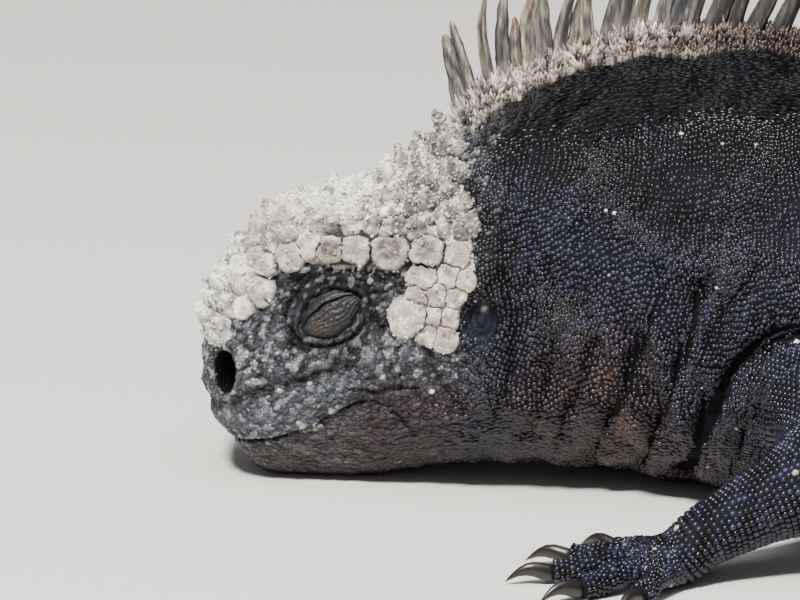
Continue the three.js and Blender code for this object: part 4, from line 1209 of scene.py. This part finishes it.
def plate_colours(points, heights, shares, row, is_block, fortune):
    s, z = row[3], row[2]
    crown = step((z - 70) / 8) * step((66 - s) / 14) if s > 12 else 0.75
    white = mix(SALT_CREAM * 0.62, SALT_WHITE, 0.15 + 0.95 * crown + 0.3 * wobble(points, 5, 63))
    freckle = wobble(points, 1.1, 64)
    dirt = wobble(points, 3, 67)
    on_brow = float(30 < s < 66 and z < 73 and z > 62)
    if is_block:
        heart = step((0.86 - shares) / 0.4) * (1.0 if fortune > 0.25 else 0.5) * (0.2 + 0.8 * on_brow)
        horn = (HORN_BROWN if fortune > 0.5 else HORN_GREY) * (1 - 0.35 * on_brow)
        bare = heart * np.clip(0.9 + 0.2 * dirt, 0, 1) + 0.22 * freckle
        colour = mix(white * (1 - 0.2 * on_brow), horn, bare)
        # The lower sides of the blocks are painted dark, most on the brow, as shade in the grooves between
        # them
        groove_shade = 0.35 + 0.6 * on_brow
        colour = mix(colour, HORN_BROWN * 0.12, groove_shade * step((0.8 + 0.12 * on_brow - heights) / 0.24))
    else:
        bare = 0.9 if fortune > 0.8 - 0.5 * (s > 44) else 0.0
        horn = HORN_BLUE if fortune > 0.75 else HORN_BROWN
        colour = mix(white, horn, bare * np.clip(0.5 + 0.7 * dirt, 0, 1) * step((heights - 0.1) / 0.3))
        # Behind the brow the crust has come off in streaks, and the horn shows blue and brown
        streaks = wobble(points * np.array([1, 1, 0.35]), 3.4, 68)
        worn = step((s - 40) / 10) * np.clip(0.35 + 0.8 * streaks, 0, 0.85)
        colour = mix(colour, HORN_BLUE * 0.8 if fortune > 0.45 else HORN_BROWN, worn)
        sides = bell((heights - 0.4) / 0.22)
        grey = np.clip(0.35 * freckle + 0.4 * dirt + 0.35 * sides - 0.1, 0, 1)
        colour = mix(colour, HORN_GREY, grey * (1 - 0.4 * crown))
        # The foot of each cone is painted dark, as shade in the crevices where it meets its neighbours
        colour = mix(colour, HORN_BROWN * 0.35, 0.75 * step((0.2 - heights) / 0.3))
    # Painted shade along the crack above the brow plates
    crack_shade = bell(from_line(points[:, 0] - SNOUT_X, points[:, 2], CRACK_SHADE_LINE) / 0.8)
    colour = mix(colour, HORN_BROWN * 0.15, 0.8 * crack_shade)
    return np.clip(colour, 0.001, 1)


# %% The helmet as one mesh
all_points, all_faces, all_colours, all_places = [], [], [], []
plate_faces = closed_rings(SPOKES, len(BLOCK))
for i, row in enumerate(middles):
    gaps = np.linalg.norm(middles[:, :3] - row[:3], axis=1)
    near = middles[(gaps < 15) & (gaps > 0.01)]
    points, heights, shares, local, is_block = plate(row, near)
    all_faces.append(plate_faces + i * len(points))
    all_points.append(points)
    all_colours.append(plate_colours(points, heights, shares, row, is_block, draws.random()))
    all_places.append(np.array([row[3] / 76, (row[4] + 1.6) / 3.2]) * 0.98 + 0.01 + local * PATCH)
helmet_mesh = mesh_of("helmet_plates", np.vstack(all_points), np.vstack(all_faces))
bake_map(helmet_mesh, np.vstack(all_places))
paint(helmet_mesh, np.vstack(all_colours))
helmet = add_object("helmet_plates", helmet_mesh)
print("helmet", len(middles), "plates,", len(helmet_mesh.polygons), "triangles")

# %% [markdown]
# ## Crumbs of salt
# The crust is made of small white lumps as well as of horn. A bump texture would look painted on at the
# outline of the crown, so each lump is a low dome, dropped on a random triangle of the plates and tinted
# like the place it lies on. The lumps are coarser than real crystals, which are too fine to see at this
# distance.

# %% Crumbs of salt over the helmet
CRUMB = dome(5, [(0.5, -0.35), (0.42, 0.55)], (0.05, 0.04, 1))
CRUMB_COUNT = 8200
corner_places = coordinates(helmet_mesh)
all_tints = np.vstack(all_colours)
triangle = np.vstack(all_faces)
a, b, c = (corner_places[triangle[:, k]] for k in range(3))
area = np.linalg.norm(np.cross(b - a, c - a), axis=1)
# Most of the crust sits high on the crown and little of it on the smooth tops of the brow plates
crusty = 0.25 + 0.75 * step((a[:, 2] - 68) / 8) + 0.4 * step((12 - (a[:, 0] - SNOUT_X)) / 8)
picked = draws.choice(len(triangle), CRUMB_COUNT, p=area * crusty / (area * crusty).sum())
u, v = draws.random((2, CRUMB_COUNT, 1))
u, v = np.where(u + v > 1, 1 - u, u), np.where(u + v > 1, 1 - v, v)
crumb_roots = a[picked] + u * (b - a)[picked] + v * (c - a)[picked]
crumb_size = draws.uniform(0.45, 1.25, CRUMB_COUNT)
sizes = np.column_stack([crumb_size, crumb_size * draws.uniform(0.6, 1.1, CRUMB_COUNT),
                         crumb_size * draws.uniform(0.3, 0.8, CRUMB_COUNT)])
ahead = unit(draws.normal(size=(CRUMB_COUNT, 3)))
places = np.column_stack([(crumb_roots[:, 0] - SNOUT_X) / 80, crumb_roots[:, 1] / 70 + 0.5]) * 0.96 + 0.02
high_up = step((crumb_roots[:, 2] - 68) / 8) * (1 - 0.85 * step((crumb_roots[:, 0] - SNOUT_X - 42) / 10))
whitened = draws.uniform(0.0, 0.5, CRUMB_COUNT) + 0.4 * high_up
crumb_tints = mix(all_tints[triangle[picked, 0]], SALT_WHITE, whitened)
helmet_tree = tree_of(helmet_mesh)
salt_crumbs = bed("salt_crumbs", CRUMB, crumb_roots, ahead, sizes, places, crumb_tints, 55, contrast=0.22,
                  tree=helmet_tree)

# %% [markdown]
# ## The crest
# A row of flattened horny spines stands on a fleshy ridge, from the nape to the tail's end. Each is grooved
# lengthwise like a fingernail and bends back towards its tip. On the nape they are tall, close and ragged.
# A stack of rings makes each one, because every ring and every side can then have a groove and wear of its
# own, which a bevelled curve lacks.

# %% One spine
SPINE_SIDES = 18
# Rings of a spine: share of its height and share of its width
SPINE_LEVELS = [(-0.12, 1.02), (0.0, 1.05), (0.1, 1.03), (0.24, 0.98), (0.4, 0.9), (0.56, 0.81), (0.7, 0.7),
                (0.82, 0.58), (0.91, 0.44), (0.97, 0.27)]


def spine_points(s, height, width, lean, twist, draws):
    root = skin(np.array([s]), np.array([0.0]))[0]
    ahead = unit(place(s + 1, 0, 0) - place(s, 0, 0))[0]
    aside = np.cross([0, 0, 1], ahead)
    ahead = ahead * math.cos(twist) + aside * math.sin(twist)
    aside = np.cross([0, 0, 1], ahead)
    slope, bend = math.tan(lean * DEGREE), draws.uniform(0.0, 0.24) * height
    tilt = draws.normal(0, 0.07)
    blunt = draws.uniform(0.55, 1.15)
    turn = np.arange(SPINE_SIDES) / SPINE_SIDES * 2 * math.pi
    # Each spine has its own ridges, which run from foot to tip
    groove = 1 + 0.17 * draws.uniform(-1, 1, SPINE_SIDES)
    rings = []
    for level, share in SPINE_LEVELS:
        up = level * height
        slide = up * slope + bend * max(level, 0) ** 2.2
        half = width / 2 * share ** blunt
        worn = 1 + 0.05 * draws.normal(size=SPINE_SIDES)
        middle = root + ahead * (slide + 0.12 * draws.normal()) + aside * tilt * up + np.array([0, 0, up])
        ring = middle + ahead * (half * groove * worn * np.cos(turn))[:, None]
        rings.append(ring + aside * (half * 0.48 * groove * worn * np.sin(turn))[:, None])
    tip = root + ahead * (height * slope + bend) + aside * tilt * height + np.array([0, 0, height])
    return np.vstack(rings + [tip])


print("a spine has", len(closed_rings(SPINE_SIDES, len(SPINE_LEVELS))), "faces")

# %% Colours of the spines
SPINE_GREY = linear("#30353e")
SPINE_PALE = linear("#a49988")
SPINE_AMBER = linear("#8c5d35")
SPINE_BLACK = linear("#29262b")
print("spine grey is", SPINE_GREY.round(3))


def spine_colours(points, s, draws):
    level = np.concatenate([np.full(SPINE_SIDES, lv) for lv, _ in SPINE_LEVELS] + [[1.0]])
    streak = draws.uniform(0, 1, SPINE_SIDES)
    stripe = np.concatenate([np.tile(streak, len(SPINE_LEVELS)), [0.5]])
    mottle = wobble(points * np.array([1, 1, 0.4]), 1.3, 84)
    dark = step((s - 116) / 26)
    base = mix(SPINE_GREY, SPINE_BLACK, 0.75 * dark + 0.3 * (1 - stripe) - 0.1)
    warm = draws.random() < 0.3
    cream = draws.uniform(0.05, 0.75) * (1 - 0.8 * dark)
    pale = np.clip(cream * (0.4 + 0.8 * stripe) + 0.28 * mottle, 0, 1)
    colour = mix(base, SPINE_PALE, pale * (1 - 0.55 * dark))
    tipped = 0.55 * step((level - 0.62) / 0.4) * (1 - 0.75 * dark)
    colour = mix(colour, SPINE_AMBER if warm else SPINE_PALE, tipped)
    colour = mix(colour, SPINE_PALE, 0.6 * step((0.3 - level) / 0.3) * step((140 - s) / 40))
    return np.clip(colour * (0.4 + 0.75 * stripe)[:, None], 0.001, 1)


# %% The row of spines
def build_row(name, start, end, seed):
    draws = np.random.default_rng(seed)
    points, colours, places, count, s = [], [], [], 0, start
    while s < end:
        height, width, lean, gap = (v[0] for v in crest_at([s])[:4])
        near = step((170 - s) / 60)
        tall = height * (1 + (0.1 + 0.06 * near) * draws.uniform(-1, 1))
        tall = tall * (0.62 if near > 0.5 and draws.random() < 0.22 else 1)
        made = spine_points(s, tall, width * draws.uniform(0.6, 1.05), lean + draws.normal(0, 4.5),
                            draws.normal(0, 0.16), draws)
        points.append(made)
        colours.append(spine_colours(made, s, draws))
        spread_out = (made - made.mean(axis=0))[:, [0, 2]] / max(height, 4)
        places.append(np.array([(s - start) / (end - start), 0.5]) * 0.96 + 0.02 + spread_out * PATCH)
        count += 1
        s += gap * (0.72 if near > 0.5 else 0.9) * draws.uniform(0.6, 1.15)
    faces = closed_rings(SPINE_SIDES, len(SPINE_LEVELS))
    per = len(points[0])
    mesh = mesh_of(name, np.vstack(points), np.vstack([faces + i * per for i in range(count)]))
    bake_map(mesh, np.vstack(places))
    paint(mesh, np.vstack(colours))
    print(name, count, "spines,", len(mesh.polygons), "triangles")
    return add_object(name, mesh)


nape_spines = build_row("nape_spines", 70.2, 200, 71)
back_spines = build_row("back_spines", 202, 1035, 72)

# %% [markdown]
# ## The fringe at the foot of the crest
# Pale pointed scales crowd round the spines' feet, tall in the middle of the ridge and low at its sides.
# They stand in no order, so their roots are scattered and not laid in rows, close on the nape and thinner
# along the back.

# %% Pointed scales round the feet of the spines
THORN = dome(5, [(0.5, -0.3), (0.36, 0.45)], (0.12, 0, 1))
FRINGE_START, FRINGE_END = 66, 420
FRINGE_TRIES = 30000
FRINGE_COUNT = 10200
# The map's length is a little more than the fringe's, so that the last patches lie inside it
FRINGE_MAP = 356
draws = np.random.default_rng(81)
tries = np.column_stack([draws.uniform(FRINGE_START, FRINGE_END, FRINGE_TRIES),
                         draws.uniform(-2.2, 2.2, FRINGE_TRIES)])
thick = 0.34 + 0.66 * step((190 - tries[:, 0]) / 90)
reach_out = 1.45 + 0.75 * step((84 - tries[:, 0]) / 12)
tries = tries[(draws.random(len(tries)) < thick) & (np.abs(tries[:, 1]) < reach_out)][:FRINGE_COUNT]
fringe_s, fringe_aside = tries.T
ridge_half = crest_at(fringe_s)[5]
half_widths = section_at(fringe_s)[0]
fringe_angles = np.arcsin(np.clip(fringe_aside * ridge_half / half_widths, -0.9, 0.9))
fringe_roots = skin(fringe_s, fringe_angles)
inward = np.clip(1 - 0.42 * np.abs(fringe_aside), 0, 1)
close = step((230 - fringe_s) / 120)
fringe_size = (0.95 + 0.5 * draws.random(len(fringe_s))) * (1 + 0.3 * (1 - close))
fringe_tall = fringe_size * (0.7 + 3.0 * inward * close * draws.uniform(0.5, 1.2, len(fringe_s)))
FRINGE_PALE = linear("#d6cbbc")
FRINGE_BROWN = linear("#544942")
pale = step((150 - fringe_s) / 45) * np.clip(0.6 + 0.5 * wobble(fringe_roots, 4, 82), 0, 1)
fringe_colours = mix(marking(fringe_roots), FRINGE_BROWN, 0.8 * close * inward)
fringe_colours = mix(fringe_colours, FRINGE_PALE, pale * inward * draws.uniform(0.2, 1.25, len(fringe_s)))
fringe_along = (fringe_s - FRINGE_START) / FRINGE_MAP
fringe_places = np.column_stack([fringe_along, fringe_aside / 4.6 + 0.5]) * 0.96 + 0.02
rear = np.tile([1.0, 0, 0], (len(fringe_s), 1))
fringe_sizes = np.column_stack([fringe_size * 1.25, fringe_size * 1.1, fringe_tall])
coats.append(bed("crest_fringe", THORN, fringe_roots, rear, fringe_sizes, fringe_places, fringe_colours, 83,
                 contrast=0.35, upright=0.45))

# %% [markdown]
# ## Shut eyes
# The lids are swollen over the eyeball and meet in a line high on the eye, with the big lower lid drawn up.
# Each eye is a cap with the outline of an almond, set in the socket of the skin, and fine folds run along
# its slit. A scaled sphere would be quicker, but its outline would be an oval, and its cells too few for
# the folds.

# %% The almond, as a grid drawn in between two arcs
LID_DARK = linear("#202024")
SLIT_SHARE = 0.5
LID_CELLS = (120, 80)
LID_ROOT = 1.6


def almond(co):
    u, v = np.sin(co[:, 0] * 0.5 * math.pi), co[:, 1]
    radius = (EYE["long"] ** 2 + EYE["high"] ** 2) / (2 * EYE["high"])
    arc = np.maximum(np.sqrt(radius**2 - (EYE["long"] * u) ** 2) - (radius - EYE["high"]), 0.15)
    return u, v, arc, np.column_stack([u * EYE["long"], v * arc, 0 * u])


def lid_rise(v, arc, flat):
    """Height of the lids, their folds, and how far each place lies below the slit."""
    bulge = np.sqrt(np.clip(1 - 0.96 * v**2, 0, 1)) * (arc / EYE["high"]) ** 0.62
    below = (SLIT_SHARE + 0.05 * wobble(flat, 6, 94)) - v
    ripple = np.cos(below * 2 * math.pi / 0.23 + 1.1 * wobble(flat, 4, 91))
    folds = ripple * step((np.abs(below) - 0.06) / 0.1)
    folds *= step((1.35 - below) / 0.6) * bulge
    lift = EYE["deep"] * 0.8 * bulge + 0.17 * folds
    lift += 0.5 * bell(np.maximum(-below - 0.1, 0) / 0.16) * step(-below / 0.06) * bulge
    lift -= 1.0 * bell(below / 0.05) * bulge**0.5 - 0.09 * wobble(flat, 1.2, 92) * bulge
    return lift, folds, below


print("eye", 2 * EYE["long"], "mm long and", 2 * EYE["high"], "mm high")


# %% One pair of lids on each side
def lid_colours(u, v, flat, folds, below):
    colour = mix(LID_DARK, LID_BROWN, bell(np.hypot((u + 0.42) / 0.3, (v + 0.2) / 0.5)) * 0.7)
    # Painted shade in the slit where the lids meet
    colour = mix(colour, LID_DARK * 0.18, bell(below / 0.055))
    # The folds are painted lighter on their crests and darker in their valleys, as painted light and shade,
    # over a random tone of the lid's own
    return colour * (1 + 0.22 * folds + 0.3 * wobble(flat, 1.1, 93))[:, None]


lids = []
for word, side in (("left", LEFT), ("right", RIGHT)):
    bm = bmesh.new()
    bmesh.ops.create_grid(bm, x_segments=LID_CELLS[0], y_segments=LID_CELLS[1], size=1.0)
    u, v, arc, flat = almond(corners(bm)[:, :2])
    lift, folds, below = lid_rise(v, arc, flat)
    centre, out = spot_frame(EYE, side)
    turn = EYE["tilt"] * DEGREE
    along = np.array([math.cos(turn), 0, math.sin(turn)])
    along = unit(along - out * along.dot(out))
    over = np.cross(along, out) * (1 if np.cross(along, out)[2] > 0 else -1)
    base = EYE["proud"] - EYE["deep"] + 0.65
    points = centre + (along * flat[:, :1] + over * flat[:, 1:2]) * 1.05
    points += out * (base + lift)[:, None]
    for vert, spot in zip(bm.verts, points * MM):
        vert.co = spot
    # The rim is drawn inwards and closed, so that the cap is a solid with its root in the socket
    rim = [e for e in bm.edges if e.is_boundary]
    grown = bmesh.ops.extrude_edge_only(bm, edges=rim)["geom"]
    inner = [g for g in grown if isinstance(g, bmesh.types.BMVert)]
    bmesh.ops.translate(bm, verts=inner, vec=Vector(-out * LID_ROOT * MM))
    bmesh.ops.edgeloop_fill(bm, edges=[e for e in bm.edges if e.is_boundary])
    turn_outward(bm)
    shade_smooth(bm)
    mesh = to_mesh(bm, f"eyelids_{word}")
    colour = lid_colours(u, v, flat, folds, below)
    full = np.tile(LID_DARK * 0.5, (len(mesh.vertices), 1))
    full[:len(colour)] = colour
    paint(mesh, np.clip(full, 0.001, 1))
    lids.append(add_object(f"eyelids_{word}", mesh))
print("lids of", len(lids[0].data.polygons), "faces each")

# %% [markdown]
# ## Claws
# Long hooked claws hold the animal fast in the surf. Each is a tapering horn that arches down to a point. A
# cone would be straight, so a row of circles is set along the toe's own direction, each of its own height
# and width, and bridged.

# %% The claws
# Rings of a claw: share of its length, rise in millimetres and share of its thickness
CLAW_LEVELS = [(-0.18, 0, 0.9), (0.0, 0, 1.02), (0.15, 0.5, 0.98), (0.32, 1.1, 0.86), (0.5, 1.1, 0.7),
               (0.66, 0.5, 0.52), (0.8, -0.5, 0.34), (0.91, -1.5, 0.18), (0.98, -2.3, 0.05)]
claws = []
for name, tip, direction, length in toe_tips:
    bm = bmesh.new()
    across = np.cross([0, 0, 1], direction)
    rings = []
    for share, up, thick in CLAW_LEVELS:
        middle = tip + direction * (GAP + length * share)
        middle[2] = max(tip[2] + up * 0.9, 0.3 + CLAW_THICK * thick)
        ring = bmesh.ops.create_circle(bm, segments=16, radius=1.0)["verts"]
        for vert in ring:
            aside, over = vert.co.x * CLAW_THICK * thick * 0.78, vert.co.y * CLAW_THICK * thick
            vert.co = Vector((middle + across * aside + np.array([0, 0, over])) * MM)
        rings.append([e for e in bm.edges if all(v in ring for v in e.verts)])
    for one, other in zip(rings, rings[1:]):
        bmesh.ops.bridge_loops(bm, edges=one + other)
    bmesh.ops.edgeloop_fill(bm, edges=rings[0])
    bmesh.ops.edgeloop_fill(bm, edges=rings[-1])
    turn_outward(bm)
    shade_smooth(bm)
    claws.append((name, add_object("horn_" + name, to_mesh(bm, "horn_" + name))))
print(len(claws), "claws of", len(claws[0][1].data.polygons), "faces")

# %% [markdown]
# ## Finishes
# Reptile skin is dead horn over live skin: half matt, with a small highlight on each scale. Dry salt is
# chalky and scatters light from a grainy surface. Claws and spines are dense horn, like a fingernail. An
# image of real skin would also bring the light of its own day with it. So all but the claws take their
# colour from the Tint attribute and add a fine grain of their own in Object coordinates.

# %% A helper that adds a node
def node(tree, kind, settings=None, links=None):
    made = tree.nodes.new(kind)
    for name, value in (settings or {}).items():
        if isinstance(name, str) and hasattr(made, name):
            setattr(made, name, value)
        else:
            made.inputs[name].default_value = value
    for socket, source in (links or {}).items():
        tree.links.new(source, made.inputs[socket])
    return made


def finish(name, roughness, grain_mm, bump, bump_mm, ior=1.5, speckle=0.25, stretch=(1, 1, 1), shine=0.5):
    material = bpy.data.materials.new(name)
    material.use_nodes = True
    tree = material.node_tree
    tree.nodes.clear()
    place_of = node(tree, "ShaderNodeTexCoord").outputs["Object"]
    stretched = node(tree, "ShaderNodeVectorMath", {"operation": "MULTIPLY", 1: stretch}, {0: place_of})
    where = stretched.outputs["Vector"]
    tint = node(tree, "ShaderNodeAttribute", {"attribute_name": "Tint"}).outputs["Color"]
    grain = node(tree, "ShaderNodeTexNoise", {"Scale": 1000 / grain_mm, "Detail": 4.0, "Roughness": 0.65},
                 {"Vector": where})
    share = node(tree, "ShaderNodeMapRange", {"To Min": 1 - speckle, "To Max": 1 + speckle},
                 {"Value": grain.outputs["Fac"]})
    share.inputs["From Min"].default_value = 0.3
    share.inputs["From Max"].default_value = 0.7
    share.clamp = False
    scaled = node(tree, "ShaderNodeVectorMath", {"operation": "SCALE"},
                  {0: tint, "Scale": share.outputs["Result"]})
    rough_map = node(tree, "ShaderNodeMapRange", {"To Min": roughness - 0.1, "To Max": roughness + 0.12},
                     {"Value": grain.outputs["Fac"]})
    pits = node(tree, "ShaderNodeTexNoise", {"Scale": 1000 / bump_mm, "Detail": 5.0, "Roughness": 0.6},
                {"Vector": where})
    raised = node(tree, "ShaderNodeBump", {"Strength": bump, "Distance": bump_mm * 0.4 * MM},
                  {"Height": pits.outputs["Fac"]})
    shader = node(tree, "ShaderNodeBsdfPrincipled", {"IOR": ior, "Specular IOR Level": shine},
                  {"Base Color": scaled.outputs["Vector"], "Roughness": rough_map.outputs["Result"],
                   "Normal": raised.outputs["Normal"]})
    node(tree, "ShaderNodeOutputMaterial", None, {"Surface": shader.outputs["BSDF"]})
    return material


print("a grain of 0.9 mm is a noise of Scale", round(1000 / 0.9))

# %% The finishes of this animal
# Skin between the scales: dark and nearly matt, so that the scales stand out from it
SKIN = finish("horny_lizard_skin", roughness=0.62, grain_mm=0.9, bump=1.0, bump_mm=0.9, ior=1.45, speckle=0.6,
              shine=0.12)
# Beads of neck, trunk and limbs: smooth horn that gives each bead a small sharp highlight
SCALE = finish("glossy_granular_scales", roughness=0.24, grain_mm=1.6, bump=0.3, bump_mm=0.5, shine=0.4)
# Scales of the face: dusted with salt, so half matt and mottled
FACE = finish("dusty_face_scales", roughness=0.5, grain_mm=0.6, bump=1.0, bump_mm=0.8, speckle=0.9,
              shine=0.35)
# Fibres under the crest: they give back little light, so the band looks black
FIBRE = finish("dull_keeled_fibres", roughness=0.5, grain_mm=0.9, bump=0.6, bump_mm=0.6, speckle=0.4,
               shine=0.2)
# Dried salt on horn: chalky and bright, with no sharp highlight; its grain is coarser than real crystals
SALT = finish("salt_crusted_horn", roughness=0.85, grain_mm=0.9, bump=1.0, bump_mm=1.5, ior=1.54,
              speckle=0.38)
# Horn of the spines: the grain is stretched in height, so that streaks run from foot to tip
HORN = finish("grooved_spine_horn", roughness=0.55, grain_mm=0.7, bump=1.0, bump_mm=0.7, ior=1.54,
              speckle=0.75, stretch=(1, 1, 0.14))
# Lids: thin soft skin with a faint sheen on its folds
LID = finish("thin_eyelid_skin", roughness=0.5, grain_mm=0.7, bump=0.6, bump_mm=0.5, ior=1.45, speckle=0.3)
print([material.name for material in (SKIN, SCALE, FACE, FIBRE, SALT, HORN, LID)])

# %% The horn of the claws
# Dark dense horn, with the sharpest highlights of the animal
CLAW_BROWN = linear("#1d1916")
CLAW = bpy.data.materials.new("dark_claw_horn")
CLAW.use_nodes = True
claw_shader = CLAW.node_tree.nodes["Principled BSDF"]
claw_shader.inputs["Base Color"].default_value = (*CLAW_BROWN, 1)
claw_shader.inputs["Roughness"].default_value = 0.34
claw_shader.inputs["IOR"].default_value = 1.54
print(len(bpy.data.materials), "finishes")

# %% Finishes, slots and the nodes that the pieces stand for
finished = [(body, SKIN, "skin"), (helmet, SALT, "crusted_skin"), (salt_crumbs, SALT, "crusted_skin"),
            (nape_spines, HORN, "skin"), (back_spines, HORN, "skin")]
finished += [(lid, LID, "eyelid") for lid in lids]
coat_finish = {"face_scales_left": FACE, "face_scales_right": FACE, "band_scales": FIBRE}
finished += [(coat, coat_finish.get(coat.name, SCALE), "skin") for coat in coats]
finished += [(claw, CLAW, "claw") for _, claw in claws]
for piece, material, slot in finished:
    piece.data.materials.clear()
    piece.data.materials.append(material)
    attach(piece, "root")
flesh = [n for n in frame["nodes"] if "claw" not in n and "closed_eye" not in n]
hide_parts(*flesh)
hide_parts("head")
for word, lid in zip(("left", "right"), lids):
    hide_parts("closed_eye_" + word)
for name, claw in claws:
    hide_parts(name)
print(len(finished), "pieces finished,", len(flesh), "flesh nodes replaced")

# %% [markdown]
# ## Light, floor and camera
# A pale studio keeps the eye on the animal: a big soft light above for the sky, a smaller and stronger one
# high on the left for the highlights on glossy scales, and a pale floor. The camera is a long lens near the
# floor, and it sees the head and neck from the side.

# %% Floor
FLOOR_HALF = 4.0
bm = bmesh.new()
bmesh.ops.create_grid(bm, x_segments=2, y_segments=2, size=FLOOR_HALF)
floor_mesh = to_mesh(bm, "studio_floor")
floor = add_object("studio_floor", floor_mesh)
floor_paint = bpy.data.materials.new("pale_matt_paper")
floor_paint.use_nodes = True
paper = floor_paint.node_tree.nodes["Principled BSDF"]
paper.inputs["Base Color"].default_value = (*linear("#dcdad6"), 1)
paper.inputs["Roughness"].default_value = 0.9
floor_mesh.materials.append(floor_paint)
print("floor", 2 * FLOOR_HALF, "m wide")

# %% Lights and camera
TARGET = Vector((-0.19681, 0, 0.0464))
AWAY = 1.3
ELEVATION = 15 * DEGREE
FRAME_WIDTH = 0.216
SENSOR = 36


def area_light(name, place_of, size, power, colour):
    lamp = bpy.data.lights.new(name, "AREA")
    lamp.shape = "DISK"
    lamp.size = size
    lamp.energy = power
    lamp.color = linear(colour)
    made = add_object(name, lamp)
    made.location = place_of
    made.rotation_euler = (TARGET - made.location).to_track_quat("-Z", "Y").to_euler()


area_light("sky_light", Vector((-0.1, -0.4, 2.2)), 1.8, 24, "#f2f6fc")
area_light("sun_light", Vector((-0.7, -1.1, 2.0)), 0.4, 122, "#fffaf2")
world = bpy.data.worlds.new("pale_studio")
bpy.context.scene.world = world
world.use_nodes = True
world.node_tree.nodes["Background"].inputs["Color"].default_value = (*linear("#e4e8ec"), 1)
world.node_tree.nodes["Background"].inputs["Strength"].default_value = 0.28
lens = bpy.data.cameras.new("side_view")
lens.sensor_width = SENSOR
lens.lens = SENSOR * AWAY / FRAME_WIDTH
camera = add_object("side_view", lens)
camera.location = TARGET + AWAY * Vector((0, -math.cos(ELEVATION), math.sin(ELEVATION)))
camera.rotation_euler = (TARGET - camera.location).to_track_quat("-Z", "Y").to_euler()
bpy.context.scene.camera = camera
print("lens", round(lens.lens, 1), "mm")
